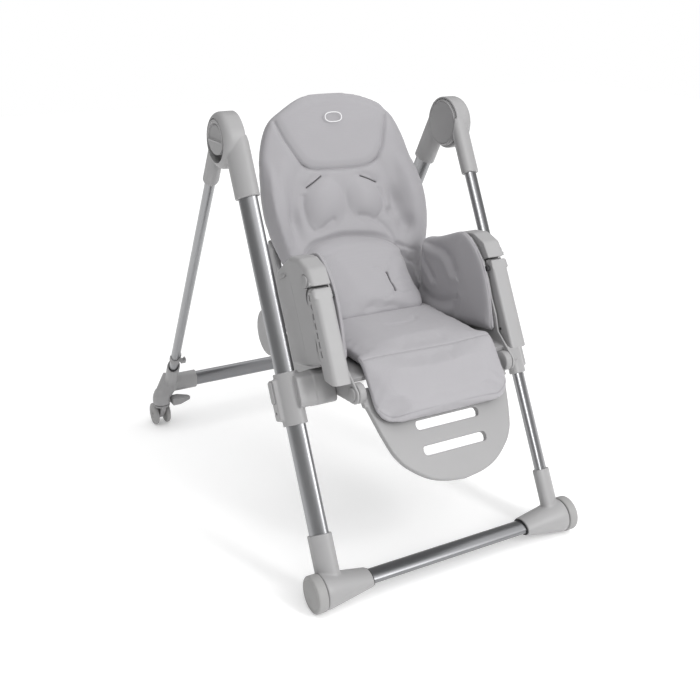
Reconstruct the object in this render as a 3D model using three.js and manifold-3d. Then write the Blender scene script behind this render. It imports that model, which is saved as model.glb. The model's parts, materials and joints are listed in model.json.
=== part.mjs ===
// A folding baby high chair: an A-frame of oval tubes, a seat carried on sleeves that slide on the
// front tubes, a reclining back, a hinged legrest and armrests that hang folded down.
// Millimetres, +Z up. The chair faces -Y, and +X is right for someone looking at its front.
// The origin is on the floor, at the middle of the footprint. Each right-hand piece is built on the
// +X side, and its left-hand partner is its mirror image.
import * as THREE from 'three';
import { ConvexGeometry } from 'three/addons/geometries/ConvexGeometry.js';
import { mergeVertices } from 'three/addons/utils/BufferGeometryUtils.js';
import Module from 'manifold-3d';

const wasm = await Module();
wasm.setup();

// ---- Driving dimensions ----

const GAP = 0.3; // between pieces that touch
const RUN = 0.5; // radial clearance of a sliding or turning fit
const deg = THREE.MathUtils.degToRad;

const HINGE_HEIGHT = 739;
const HINGE_RADIUS = 52;
const HINGE_INNER_X = 228; // inner side of the rear leg's hub
const HUB_OUTER_X = 236; // where the hub meets the front leg's housing
const HINGE_OUTER_X = 268;

const TUBE_MAJOR = 35;
const TUBE_MINOR = 20.5;
const TUBE_WALL = 1.8;
const FRONT_TILT = deg(27);
const FRONT_TUBE_X = 242;
const FRONT_OFFSET = 33; // tube's centre line ahead of the hinge axis
const FRONT_TURN = deg(33); // the section's long axis, from +X
const REAR_TILT = deg(30.1);
const REAR_TUBE_X = 245;
const REAR_OFFSET = 31; // tube's centre line behind the hinge axis
const REAR_TURN = deg(120);
const REAR_KNEE_HEIGHT = 100.7;
const SLEEVE_WALL = 4.5;
const SLEEVE_LENGTH = 119; // from the hinge axis to the end of each hinge sleeve

const WHEEL_RADIUS = 32.5;
const WHEEL_X = [261, 280];
const CASTER_RADIUS = 26;
const CASTER_WIDTH = 15;
const CASTER_X = 271;
const CASTER_SPREAD = 14.5; // from the swivel axis to the middle of each wheel
const CASTER_TRAIL = 17.5;

const WALL_X = [161.5, 165.5]; // the seat shell's side wall
const PANEL_X = [165.8, 205]; // side panel, inner and outer face
const ARMREST_X = [168, 205];
const WING_PAD_X = [136, 161.2];
const SEAT_HEIGHT = 407;
const SEAT_PAD_BASE = 374;
const SEAT_PAD_HALF = 133; // between the wings
const SEAT_NOSE_HALF = 140; // ahead of the wings

const RECLINE_AXIS = { y: 17, z: 346 };
const RECLINE_HUB = 47; // radius of the shell's end around the recline axis
const BACK_TILT = deg(21.5);
const BACK_DATUM = { y: -43, z: 497 }; // a point on the back pad's front surface
const BACK_PAD_DEPTH = 28;
const BACK_SHELL_DEPTH = 44;

const LEGREST_AXIS = { y: -331, z: 351 };
const LEGREST_TILT = deg(36.5);
const LEGREST_LENGTH = 184; // from its axis to the end of the plate
const LEGREST_THICK = 11;

const ARMREST_PIVOT = { ahead: 88, up: 486 }; // in the front leg's frame
const ARMREST_RADIUS = 17.5;

// Where each leg's frame stands: the foot of the front leg and the knee of the rear leg.
const FRONT_LENGTH = (HINGE_HEIGHT - WHEEL_RADIUS + FRONT_OFFSET * Math.sin(FRONT_TILT))
  / Math.cos(FRONT_TILT);
const FOOT_Y = -FRONT_OFFSET * Math.cos(FRONT_TILT) - FRONT_LENGTH * Math.sin(FRONT_TILT);
const REAR_LENGTH = (HINGE_HEIGHT - REAR_KNEE_HEIGHT + REAR_OFFSET * Math.sin(REAR_TILT))
  / Math.cos(REAR_TILT);
const KNEE_Y = REAR_OFFSET * Math.cos(REAR_TILT) + REAR_LENGTH * Math.sin(REAR_TILT);
const LEGREST_END_Y = LEGREST_AXIS.y - LEGREST_LENGTH * Math.sin(LEGREST_TILT);
const CASTER_AXLE_Y = -LEGREST_END_Y - CASTER_RADIUS;
const SWIVEL_Y = CASTER_AXLE_Y - CASTER_TRAIL;

// ---- Materials ----

const paint = (color, roughness, metalness = 0) =>
  new THREE.MeshStandardMaterial({ color, roughness, metalness });
const shellGrey = paint(0xb3b2b3, 0.5);
const shellGreyDark = paint(0xa4a3a3, 0.5);
const anodised = paint(0x8f9093, 0.3, 0.9);
const steel = paint(0xc2c4c6, 0.25, 1);
const rubberGrey = paint(0x9d9b99, 0.7);
const leather = paint(0xb4b2b6, 0.65);

// ---- Solids and geometry ----

// A closed geometry as a solid. A geometry whose faces point inwards is turned inside out first.
function solid(geometry) {
  const bare = geometry.index ? geometry.toNonIndexed() : geometry.clone();
  for (const name of ['normal', 'uv']) bare.deleteAttribute(name);
  const merged = mergeVertices(bare, 1e-4);
  const vertProperties = new Float32Array(merged.attributes.position.array);
  const triVerts = new Uint32Array(merged.index.array);
  if (signedVolume(vertProperties, triVerts) < 0) triVerts.reverse();
  return new wasm.Manifold(new wasm.Mesh({ numProp: 3, vertProperties, triVerts }));
}

function signedVolume(points, triangles) {
  const corner = (i) => new THREE.Vector3().fromArray(points, 3 * triangles[i]);
  let volume = 0;
  for (let i = 0; i < triangles.length; i += 3) {
    volume += corner(i).dot(corner(i + 1).cross(corner(i + 2))) / 6;
  }
  return volume;
}

function geometryOf(manifold) {
  const mesh = manifold.getMesh();
  const geometry = new THREE.BufferGeometry();
  geometry.setAttribute('position', new THREE.BufferAttribute(mesh.vertProperties.slice(), 3));
  geometry.setIndex(new THREE.BufferAttribute(mesh.triVerts.slice(), 1));
  geometry.computeVertexNormals();
  return geometry;
}

const join = (...geometries) =>
  geometryOf(geometries.map(solid).reduce((whole, piece) => whole.add(piece)));
const cut = (geometry, ...tools) =>
  geometryOf(tools.map(solid).reduce((rest, tool) => rest.subtract(tool), solid(geometry)));
const common = (a, b) => geometryOf(solid(a).intersect(solid(b)));

function mirrored(geometry) {
  const copy = geometry.index ? geometry.toNonIndexed() : geometry.clone();
  copy.deleteAttribute('uv');
  copy.scale(-1, 1, 1);
  const p = copy.attributes.position;
  for (let i = 0; i < p.count; i += 3) {
    const [b, c] = [i + 1, i + 2].map((k) => new THREE.Vector3().fromBufferAttribute(p, k));
    p.setXYZ(i + 1, c.x, c.y, c.z);
    p.setXYZ(i + 2, b.x, b.y, b.z);
  }
  copy.computeVertexNormals();
  return copy;
}

// ---- Shapes ----

const outline = (points) => new THREE.Shape(points.map(([x, y]) => new THREE.Vector2(x, y)));

function ovalOutline(major, minor, turn = 0, steps = 16) {
  const points = [];
  for (let i = 0; i < steps; i += 1) {
    const a = (2 * Math.PI * i) / steps;
    const [u, v] = [(major / 2) * Math.cos(a), (minor / 2) * Math.sin(a)];
    points.push([
      u * Math.cos(turn) - v * Math.sin(turn),
      u * Math.sin(turn) + v * Math.cos(turn),
    ]);
  }
  return points;
}

const extrude = (shape, depth) =>
  new THREE.ExtrudeGeometry(shape, { depth, bevelEnabled: false, steps: 1, curveSegments: 8 });

// A bar with an oval section, standing along Z from low to high at (x, y).
function ovalBar(grow, turn, x, y, low, high) {
  const section = outline(ovalOutline(TUBE_MAJOR + 2 * grow, TUBE_MINOR + 2 * grow, turn));
  return extrude(section, high - low).translate(x, y, low);
}

function ovalTube(turn, x, low, high) {
  return cut(ovalBar(0, turn, x, 0, low, high), ovalBar(-TUBE_WALL, turn, x, 0, low - 1, high + 1));
}

// An outline in (y, z), extruded along X from low to high.
function alongX(points, low, high) {
  const geometry = extrude(outline(points), high - low);
  const turn = new THREE.Matrix4().makeBasis(
    new THREE.Vector3(0, 1, 0),
    new THREE.Vector3(0, 0, 1),
    new THREE.Vector3(1, 0, 0),
  );
  return geometry.applyMatrix4(turn).translate(low, 0, 0);
}

// A disc, ring or dome turned about an axis along X through (y, z); profile points are [radius, x].
function turnedAboutX(profile, y, z, steps = 28) {
  const points = profile.map(([radius, x]) => new THREE.Vector2(radius, x));
  return new THREE.LatheGeometry(points, steps).rotateZ(-Math.PI / 2).translate(0, y, z);
}

const drum = (radius, low, high, y, z, steps = 20) =>
  turnedAboutX([[0, low], [radius, low], [radius, high], [0, high]], y, z, steps);

// A body turned about a vertical axis at (x, y); profile points are [radius, z].
function turnedAboutZ(profile, x, y, steps = 20) {
  const points = profile.map(([radius, z]) => new THREE.Vector2(radius, z));
  return new THREE.LatheGeometry(points, steps).rotateX(Math.PI / 2).translate(x, y, 0);
}

const box = (x, y, z) => {
  const size = [x, y, z].map(([low, high]) => high - low);
  const middle = [x, y, z].map(([low, high]) => (low + high) / 2);
  return new THREE.BoxGeometry(...size).translate(...middle);
};

function arc(y, z, radius, from, to, steps) {
  const points = [];
  for (let i = 0; i <= steps; i += 1) {
    const a = deg(from + ((to - from) * i) / steps);
    points.push([y + radius * Math.cos(a), z + radius * Math.sin(a)]);
  }
  return points;
}

// The corner points of a closed outline, each rounded with its own radius: [a, b, radius].
function rounded(corners, steps = 4) {
  const points = [];
  corners.forEach(([a, b, radius = 0], i) => {
    const here = new THREE.Vector2(a, b);
    const [before, after] = [corners.at(i - 1), corners[(i + 1) % corners.length]]
      .map(([p, q]) => new THREE.Vector2(p, q).sub(here).normalize());
    const reach = radius / Math.tan(Math.acos(before.dot(after)) / 2);
    const curve = new THREE.QuadraticBezierCurve(
      here.clone().addScaledVector(before, reach),
      here,
      here.clone().addScaledVector(after, reach),
    );
    const bend = radius ? curve.getPoints(steps) : [here];
    points.push(...bend.map((p) => [p.x, p.y]));
  });
  return points;
}

const ringAt = (points, x) => points.map(([y, z]) => new THREE.Vector3(x, y, z));

// ---- The chair's frames of reference ----

const chair = new THREE.Group();

function frameAt(y, z, tilt) {
  const group = new THREE.Group();
  group.position.set(0, y, z);
  group.rotation.x = tilt;
  chair.add(group);
  return group;
}

// Z runs up the tube in a leg's frame, up the back in the back's, and up the plate in the legrest's.
const frontLeg = frameAt(FOOT_Y, WHEEL_RADIUS, -FRONT_TILT);
const rearLeg = frameAt(KNEE_Y, REAR_KNEE_HEIGHT, REAR_TILT);
const backrest = frameAt(BACK_DATUM.y, BACK_DATUM.z, -BACK_TILT);
const legrest = frameAt(LEGREST_AXIS.y, LEGREST_AXIS.z, -LEGREST_TILT);

function add(group, name, geometry, material) {
  const mesh = new THREE.Mesh(geometry, material);
  mesh.name = name;
  group.add(mesh);
}

function addPair(group, name, rightGeometry, material) {
  add(group, `${name}_right`, rightGeometry, material);
  add(group, `${name}_left`, mirrored(rightGeometry), material);
}

// ---- Front frame ----

const FRONT_HINGE = [FRONT_OFFSET, FRONT_LENGTH]; // (y, z) in the front leg's frame
const TUBE_END = [40, FRONT_LENGTH - 66]; // front tube, low and high end
const FOOT_SLEEVE_TOP = 94;
const HINGE_PIN_RADIUS = 5;
const BUTTON_RADIUS = 39.4;
const BUTTON_LIFT = 14; // how far the button's lower edge is raised above its recess
const RECESS_DEPTH = 9;
const FRONT_BAR_HALF = 190;
const FRONT_CONE_X = 168; // inner end of the foot's cone
const AXLE_RADIUS = 4;

function hingeHousing() {
  const edge = 14;
  const rim = HINGE_RADIUS - edge + 3;
  const profile = [
    [0, HUB_OUTER_X + GAP],
    [HINGE_RADIUS, HUB_OUTER_X + GAP],
    ...arc(HINGE_RADIUS - edge, HINGE_OUTER_X - edge, edge, 0, 75, 4),
    [rim - 0.6, HINGE_OUTER_X],
    [BUTTON_RADIUS + 0.6, HINGE_OUTER_X],
    [BUTTON_RADIUS + 0.6, HINGE_OUTER_X - RECESS_DEPTH],
    [0, HINGE_OUTER_X - RECESS_DEPTH],
  ];
  const end = FRONT_LENGTH - SLEEVE_LENGTH;
  const sleeve = ovalBar(SLEEVE_WALL + 0.8, FRONT_TURN, FRONT_TUBE_X, 0, end, FRONT_LENGTH - 10);
  const clearOfHub = drum(HINGE_RADIUS + 1.5, 200, HUB_OUTER_X + GAP, ...FRONT_HINGE);
  const clearOfButton = drum(BUTTON_RADIUS + 0.6, HINGE_OUTER_X - RECESS_DEPTH, 300, ...FRONT_HINGE);
  return cut(
    join(turnedAboutX(profile, ...FRONT_HINGE), sleeve),
    clearOfHub,
    clearOfButton,
    ovalBar(GAP, FRONT_TURN, FRONT_TUBE_X, 0, end - 1, TUBE_END[1] + GAP),
    drum(HINGE_PIN_RADIUS + GAP, 220, 254, ...FRONT_HINGE, 12),
  );
}

// Seen from outside, a disc with its lower edge raised, so that a crescent of the recess shows.
function foldButton() {
  const low = HINGE_OUTER_X - RECESS_DEPTH + 1.5;
  const high = HINGE_OUTER_X + 1;
  const [y, z] = FRONT_HINGE;
  return common(
    drum(BUTTON_RADIUS, low, high, y, z, 28),
    drum(BUTTON_RADIUS, low, high, y, z + BUTTON_LIFT, 28),
  );
}

const crossbarOutline = (grow, turn) =>
  ovalOutline(TUBE_MAJOR + 2 * grow, TUBE_MINOR + 2 * grow, turn);

// A cone from the wheel to the crossbar, and a sleeve for the tube.
function frontFoot() {
  const wheelSide = WHEEL_X[0] - 0.8;
  const big = arc(0, 0, WHEEL_RADIUS - 1.5, 0, 340, 17);
  const small = crossbarOutline(SLEEVE_WALL, FRONT_TILT);
  const cone = new ConvexGeometry([
    ...ringAt(big, wheelSide),
    ...ringAt(big, wheelSide - 12),
    ...ringAt(small, FRONT_CONE_X),
  ]);
  const sleeve = ovalBar(SLEEVE_WALL, FRONT_TURN, FRONT_TUBE_X, 0, 0, FOOT_SLEEVE_TOP);
  return cut(
    join(cone, sleeve),
    box([wheelSide, 300], [-60, 60], [-60, 60]),
    ovalBar(GAP, FRONT_TURN, FRONT_TUBE_X, 0, TUBE_END[0] - GAP, FOOT_SLEEVE_TOP + 1),
    alongX(crossbarOutline(GAP, FRONT_TILT), FRONT_CONE_X - 1, FRONT_BAR_HALF + GAP),
    drum(AXLE_RADIUS + GAP, 240, wheelSide + 1, 0, 0, 12),
  );
}

function crossbar(turn, half) {
  return cut(
    alongX(crossbarOutline(0, turn), -half, half),
    alongX(crossbarOutline(-TUBE_WALL, turn), -half - 1, half + 1),
  );
}

function frontWheel() {
  const [low, high] = WHEEL_X;
  const profile = [
    [0, low],
    [WHEEL_RADIUS - 2, low],
    [WHEEL_RADIUS, low + 2],
    [WHEEL_RADIUS, high - 4],
    [WHEEL_RADIUS - 1.2, high - 1.2],
    [WHEEL_RADIUS - 4, high],
    [0, high],
  ];
  return cut(turnedAboutX(profile, 0, 0), drum(AXLE_RADIUS + GAP, low - 1, high - 5, 0, 0, 12));
}

function frontFrame() {
  const tube = ovalTube(FRONT_TURN, FRONT_TUBE_X, ...TUBE_END);
  addPair(frontLeg, 'front_tube', tube, anodised);
  addPair(frontLeg, 'hinge_housing', hingeHousing(), shellGrey);
  addPair(frontLeg, 'fold_button', foldButton(), shellGreyDark);
  addPair(frontLeg, 'front_foot', frontFoot(), shellGrey);
  addPair(frontLeg, 'front_wheel', frontWheel(), rubberGrey);
  addPair(frontLeg, 'front_axle', drum(AXLE_RADIUS, 241, WHEEL_X[1] - 5.5, 0, 0, 12), steel);
  add(frontLeg, 'front_crossbar', crossbar(FRONT_TILT, FRONT_BAR_HALF), anodised);
}

// ---- Rear frame ----

const REAR_HINGE = [-REAR_OFFSET, REAR_LENGTH];
const REAR_TUBE = [12, REAR_LENGTH - 66];
const KNEE_SLEEVE_TOP = 72;
const REAR_SOCKET_X = 182;
const HUB_CAP_RADIUS = 45;
const HUB_CAP_X = [225.7, 227.2, HINGE_INNER_X - GAP]; // face, low end of the bevel, seat
const PEDAL_TIP_X = 204;
const PEDAL_PIVOT_X = 249;
const REAR_BAR_HALF = 202;
const REAR_BAR_TURN = Math.PI / 2 - REAR_TILT; // the bar's long axis is vertical

function rearHub() {
  const end = REAR_LENGTH - SLEEVE_LENGTH;
  const sleeve = ovalBar(SLEEVE_WALL + 0.8, REAR_TURN, REAR_TUBE_X, 0, end, REAR_LENGTH - 20);
  return cut(
    join(drum(HINGE_RADIUS - 1, HINGE_INNER_X, HUB_OUTER_X, ...REAR_HINGE, 28), sleeve),
    drum(HINGE_RADIUS + 1.5, HUB_OUTER_X, 300, ...REAR_HINGE, 28),
    drum(HUB_CAP_RADIUS + 1, 215, HINGE_INNER_X, ...REAR_HINGE, 28),
    ovalBar(GAP, REAR_TURN, REAR_TUBE_X, 0, end - 1, REAR_TUBE[1] + GAP),
    drum(HINGE_PIN_RADIUS + GAP, 220, 240, ...REAR_HINGE, 12),
  );
}

// The knee joins the tube, the crossbar and the caster's housing in one moulding.
function rearFoot() {
  const toWorld = new THREE.Matrix4().makeRotationX(REAR_TILT).setPosition(0, KNEE_Y, REAR_KNEE_HEIGHT);
  const fromWorld = toWorld.clone().invert();
  const housing = turnedAboutZ(
    [[0, 58], [20, 58], [21, 66], [18.5, 84], [11, 95], [0, 98]], CASTER_X, SWIVEL_Y,
  );
  const web = new ConvexGeometry([
    ...ringAt(arc(KNEE_Y, REAR_KNEE_HEIGHT, 14, 0, 324, 9), REAR_TUBE_X - 12),
    ...ringAt(arc(KNEE_Y, REAR_KNEE_HEIGHT + 12, 13, 0, 324, 9), REAR_TUBE_X + 12),
    ...ringAt(arc(SWIVEL_Y, 74, 16, 0, 324, 9), CASTER_X),
  ]);
  const lower = join(housing, web).applyMatrix4(fromWorld);
  const sleeve = ovalBar(SLEEVE_WALL, REAR_TURN, REAR_TUBE_X, 0, -8, KNEE_SLEEVE_TOP);
  const socket = alongX(crossbarOutline(SLEEVE_WALL, REAR_BAR_TURN), REAR_SOCKET_X, REAR_TUBE_X);
  const pedalRoom = box([200, PEDAL_PIVOT_X + 4], [SWIVEL_Y - 20, SWIVEL_Y + 4], [44, 67.5]);
  const stemBore = turnedAboutZ([[0, 50], [5.5, 50], [5.5, 86], [0, 86]], CASTER_X, SWIVEL_Y, 12);
  return cut(
    join(sleeve, socket, lower),
    ovalBar(GAP, REAR_TURN, REAR_TUBE_X, 0, REAR_TUBE[0] - GAP, KNEE_SLEEVE_TOP + 1),
    alongX(crossbarOutline(GAP, REAR_BAR_TURN), REAR_SOCKET_X - 1, REAR_BAR_HALF + GAP),
    stemBore.applyMatrix4(fromWorld),
    pedalRoom.applyMatrix4(fromWorld),
  );
}

// A clip around the tube, with a peg and lip on its inner front side for hanging up the tray.
function trayHook() {
  const [low, high] = [108, 126];
  return cut(
    join(
      ovalBar(4, REAR_TURN, REAR_TUBE_X, 0, low, high),
      box([221, 236], [-22, -11], [low + 4, low + 12]),
      box([221, 225], [-22, -11], [low + 4, high + 2]),
    ),
    ovalBar(GAP, REAR_TURN, REAR_TUBE_X, 0, low - 1, high + 3),
    box([REAR_TUBE_X - 2, 290], [2, 60], [low - 1, high + 1]),
  );
}

function rearFrame() {
  addPair(rearLeg, 'rear_hub', rearHub(), shellGrey);
  const [face, edge, seat] = HUB_CAP_X;
  const cap = turnedAboutX(
    [[0, face], [HUB_CAP_RADIUS - 2, face], [HUB_CAP_RADIUS, edge], [HUB_CAP_RADIUS, seat], [0, seat]],
    ...REAR_HINGE,
  );
  addPair(rearLeg, 'hub_cap', cap, shellGreyDark);
  const pin = drum(HINGE_PIN_RADIUS, HINGE_INNER_X, 253, ...REAR_HINGE, 12);
  addPair(rearLeg, 'hinge_pin', pin, steel);
  addPair(rearLeg, 'rear_tube', ovalTube(REAR_TURN, REAR_TUBE_X, ...REAR_TUBE), anodised);
  addPair(rearLeg, 'rear_foot', rearFoot(), shellGrey);
  addPair(rearLeg, 'tray_hook', trayHook(), shellGreyDark);
  add(rearLeg, 'rear_crossbar', crossbar(REAR_BAR_TURN, REAR_BAR_HALF), anodised);
}

// ---- Casters and brake pedals ----

function casterFork() {
  const dome = turnedAboutZ([[0, 51.5], [19, 51.5], [19, 54], [14, 57.5], [5, 57.5], [5, 85], [0, 85]],
    CASTER_X, SWIVEL_Y);
  const webHalf = CASTER_SPREAD - CASTER_WIDTH / 2 - 1;
  const web = alongX(
    rounded([
      [SWIVEL_Y - 14, 53], [SWIVEL_Y + 15, 53], [CASTER_AXLE_Y + 9, 32, 3],
      [CASTER_AXLE_Y + 8, 17, 6], [CASTER_AXLE_Y - 9, 17, 6], [SWIVEL_Y - 12, 44, 4],
    ]),
    CASTER_X - webHalf,
    CASTER_X + webHalf,
  );
  const bore = drum(3 + GAP, 240, 300, CASTER_AXLE_Y, CASTER_RADIUS, 12);
  return cut(join(dome, web), bore);
}

function casterWheel(middle, open) {
  const half = CASTER_WIDTH / 2;
  const profile = [
    [0, middle - half],
    [CASTER_RADIUS - 5, middle - half],
    [CASTER_RADIUS - 1, middle - half + 2.5],
    [CASTER_RADIUS, middle],
    [CASTER_RADIUS - 1, middle + half - 2.5],
    [CASTER_RADIUS - 5, middle + half],
    [0, middle + half],
  ];
  const bore = drum(3 + GAP, middle - open * 10, middle + open * (half - 3),
    CASTER_AXLE_Y, CASTER_RADIUS, 12);
  return cut(turnedAboutX(profile, CASTER_AXLE_Y, CASTER_RADIUS, 22), bore);
}

// A flat pedal that points inwards from the foot and rocks about a pin along Y.
function brakePedal() {
  const [y0, y1] = [SWIVEL_Y - 19, SWIVEL_Y + 3];
  const blade = alongX(
    rounded([[y0, 56, 2], [y1, 56, 2], [y1 - 2, 64, 3], [y0 + 2, 64, 3]], 2),
    PEDAL_TIP_X,
    PEDAL_PIVOT_X + 3,
  );
  const ribs = [0, 1, 2].map((i) => {
    const x = PEDAL_TIP_X + 6 + 8 * i;
    return box([x, x + 4], [y0 + 4, y1 - 4], [60, 65.5]);
  });
  return join(blade, ...ribs);
}

function casters() {
  addPair(chair, 'caster_fork', casterFork(), shellGreyDark);
  const outer = casterWheel(CASTER_X + CASTER_SPREAD, 1);
  const inner = casterWheel(CASTER_X - CASTER_SPREAD, -1);
  addPair(chair, 'caster_wheel_outer', outer, rubberGrey);
  addPair(chair, 'caster_wheel_inner', inner, rubberGrey);
  const reach = CASTER_SPREAD + CASTER_WIDTH / 2 - 4;
  const axle = drum(3, CASTER_X - reach, CASTER_X + reach, CASTER_AXLE_Y, CASTER_RADIUS, 12);
  addPair(chair, 'caster_axle', axle, steel);
  addPair(chair, 'brake_pedal', brakePedal(), shellGreyDark);
}

// ---- Seat, on sleeves that slide on the front tubes ----

const CARRIER_RISE = [283, 375]; // low and high end of the carrier's sleeve
const ARM_BLOCK = [[15, 308], [-30, 308], [-30, 362], [-12, 372], [15, 372]];
const HEIGHT_BUTTON = { y: [5, 19], z: [325, 364], x: [265.2, 271] };
const SMALL_BUTTON_TRAVEL = 3;
const PANEL_BUTTON = { ahead: 77, up: 517, radius: 11.5 };
const LEGREST_BUTTON = { radius: 12, x: [164.8, 169] }; // in a hole in the seat's wall
const SHAFT_RADIUS = 6;

// (ahead, up) in the front leg's frame, as (y, z) in that frame or in the chair's.
const inLeg = ([ahead, up, ...rest]) => [-ahead, up, ...rest];
function inChair([ahead, up]) {
  const [c, s] = [Math.cos(FRONT_TILT), Math.sin(FRONT_TILT)];
  return [FOOT_Y - ahead * c + up * s, WHEEL_RADIUS + ahead * s + up * c];
}

// Every corner of an outline moved inwards by a distance; the outline runs either way round.
function inset(points, distance) {
  const middle = points.reduce(([a, b], [p, q]) => [a + p / points.length, b + q / points.length], [0, 0]);
  return points.map(([p, q]) => {
    const [dp, dq] = [p - middle[0], q - middle[1]];
    const keep = 1 - distance / Math.hypot(dp, dq);
    return [middle[0] + dp * keep, middle[1] + dq * keep];
  });
}

// An outline in (x, z), extruded along Y from front to back, and one with rounded edges.
const facing = (points, front, back) =>
  extrude(outline(points), back - front).rotateX(Math.PI / 2).translate(0, back, 0);

function pillow(points, depth, round) {
  return new THREE.ExtrudeGeometry(outline(points), {
    depth: depth - 2 * round,
    steps: 1,
    bevelEnabled: true,
    bevelThickness: round,
    bevelSize: round,
    bevelOffset: -round,
    bevelSegments: 2,
  }).translate(0, 0, round);
}

// Both halves of an outline that is symmetric about x = 0, from its right half (x, z), low to high.
const bothSides = (right) => [
  ...right,
  ...right.filter(([x]) => x > 0).reverse().map(([x, z]) => [-x, z]),
];

function carrier() {
  const [low, high] = CARRIER_RISE;
  const { x, y, z } = HEIGHT_BUTTON;
  const arm = alongX(rounded(ARM_BLOCK.map(([a, b]) => [a, b, 5]), 2), WALL_X[1] + GAP, 232);
  const housing = alongX(
    rounded([[-2, low + 6, 6], [24, low + 6, 6], [24, high - 8, 6], [-2, high - 8, 6]], 2),
    FRONT_TUBE_X,
    268,
  );
  return cut(
    join(ovalBar(SLEEVE_WALL + RUN, FRONT_TURN, FRONT_TUBE_X, 0, low, high), arm, housing),
    ovalBar(RUN, FRONT_TURN, FRONT_TUBE_X, 0, low - 1, high + 1),
    box([x[0] - SMALL_BUTTON_TRAVEL - GAP, 275], [y[0] - GAP, y[1] + GAP], [z[0] - GAP, z[1] + GAP]),
    drum(3, 262, 275, (y[0] + y[1]) / 2, low + 25, 12),
  );
}

const PANEL_OUTLINE = rounded([
  [-47, 387, 8], [-47, 556, 30], [34, 571, 12], [66, 559, 12], [86, 532, 8], [88, 512, 5],
  [71.4, 505, 3], [71.4, 372, 6], [20, 375, 8],
].map(inLeg), 3);

// A hollow moulding, open on the side that lies against the seat shell.
function sidePanel() {
  const [inner, outer] = PANEL_X;
  const pivot = inLeg([ARMREST_PIVOT.ahead, ARMREST_PIVOT.up]);
  const button = inLeg([PANEL_BUTTON.ahead, PANEL_BUTTON.up]);
  const buttonFloor = outer - 6 - SMALL_BUTTON_TRAVEL - GAP;
  const hollow = cut(
    alongX(inset(PANEL_OUTLINE, 5), inner - 1, outer - 3.5),
    drum(PANEL_BUTTON.radius + 3, inner - 2, outer, ...button),
    drum(ARMREST_RADIUS + 5, inner - 2, outer, ...pivot),
  );
  return cut(
    join(alongX(PANEL_OUTLINE, inner, outer), box([outer - 1, outer + 2.5], [-7, 20], [540, 547])),
    hollow,
    drum(ARMREST_RADIUS + RUN, inner - 1, outer + 1, ...pivot),
    drum(PANEL_BUTTON.radius + GAP, buttonFloor, outer + 1, ...button),
  );
}

// A thin bucket: a floor that curls down around the recline axis, and a wall up each side.
function seatShell() {
  const { y, z } = RECLINE_AXIS;
  const floor = alongX([
    [-318, 366], [-318, SEAT_PAD_BASE - GAP], [-112, SEAT_PAD_BASE - GAP], [-72, 362], [-40, 336],
    ...arc(y, z, RECLINE_HUB - 4.5, 195, 310, 8),
    ...arc(y, z, RECLINE_HUB, 310, 200, 8),
    [-46, 330], [-78, 354], [-114, 368],
  ], -WALL_X[1] + 1, WALL_X[1] - 1);
  const side = [
    ...arc(LEGREST_AXIS.y, LEGREST_AXIS.z, 18, 270, 150, 6),
    ...[[88, 370], [98, 430], [98, 500], [78, 551], [54, 571], [14, 576], [-28, 573], [-64, 542],
      [-104, 481], [-122, 436]].map(inChair),
    ...arc(y, z, RECLINE_HUB, 110, -90, 10),
  ];
  const wall = alongX(side, ...WALL_X);
  const pivot = inChair([ARMREST_PIVOT.ahead, ARMREST_PIVOT.up]);
  const bores = [
    drum(SHAFT_RADIUS + GAP, 155, 170, y, z, 12),
    drum(LEGREST_BUTTON.radius + GAP, 155, 170, LEGREST_AXIS.y, LEGREST_AXIS.z),
    drum(5 + GAP, 155, 170, ...pivot, 12),
  ];
  return cut(join(floor, wall, mirrored(wall)), ...bores, ...bores.map(mirrored));
}

const WING_OUTLINE = [
  [-118, 447], [-80, 429], [-40, 412], [0, 398], [40, 385], [91, 368], [95, 400], [95, 430], [94, 470],
  [90, 500], [82, 528], [74, 547], [62, 561], [48, 569], [14, 573], [-12, 572], [-28, 568], [-60, 540],
  [-82, 512], [-100, 480],
].map(inLeg);

function wingPad() {
  const [low, high] = WING_PAD_X;
  const geometry = pillow(WING_OUTLINE, high - low, 5);
  const turn = new THREE.Matrix4().makeBasis(
    new THREE.Vector3(0, 1, 0), new THREE.Vector3(0, 0, 1), new THREE.Vector3(1, 0, 0),
  );
  return geometry.applyMatrix4(turn).translate(low, 0, 0);
}

// The pad's nose turns down over the front edge and stops short of the legrest's sweep.
function seatPad() {
  const profile = [
    [-84, SEAT_PAD_BASE], [-84, SEAT_HEIGHT - 0.5], [-298, SEAT_HEIGHT], [-313, 404.5], [-321, 398],
    [-351, 356], [-318.5, 356], [-318.5, SEAT_PAD_BASE],
  ];
  const clearOfLegrest = drum(25, -150, 150, LEGREST_AXIS.y, LEGREST_AXIS.z, 24);
  const nose = common(
    alongX(profile, -SEAT_NOSE_HALF, SEAT_NOSE_HALF),
    box([-150, 150], [-360, -312], [340, 420]),
  );
  return cut(join(alongX(profile, -SEAT_PAD_HALF, SEAT_PAD_HALF), nose), clearOfLegrest);
}

function seat() {
  const button = inLeg([PANEL_BUTTON.ahead, PANEL_BUTTON.up]);
  const pivot = inLeg([ARMREST_PIVOT.ahead, ARMREST_PIVOT.up]);
  const { x, y, z } = HEIGHT_BUTTON;
  addPair(frontLeg, 'carrier', carrier(), shellGrey);
  addPair(frontLeg, 'height_button', box(x, y, z), shellGreyDark);
  addPair(frontLeg, 'side_panel', sidePanel(), shellGrey);
  const armrestButton = drum(PANEL_BUTTON.radius, PANEL_X[1] - 6, PANEL_X[1] + 2.5, ...button);
  addPair(frontLeg, 'armrest_button', armrestButton, shellGreyDark);
  addPair(frontLeg, 'armrest_pin', drum(5, WALL_X[0], ARMREST_X[1] - 4, ...pivot, 12), steel);
  addPair(frontLeg, 'wing_pad', wingPad(), leather);
  add(chair, 'seat_shell', seatShell(), shellGrey);
  add(chair, 'seat_pad', seatPad(), leather);
}

// ---- Armrests, which hang down along the front tubes ----

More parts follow.
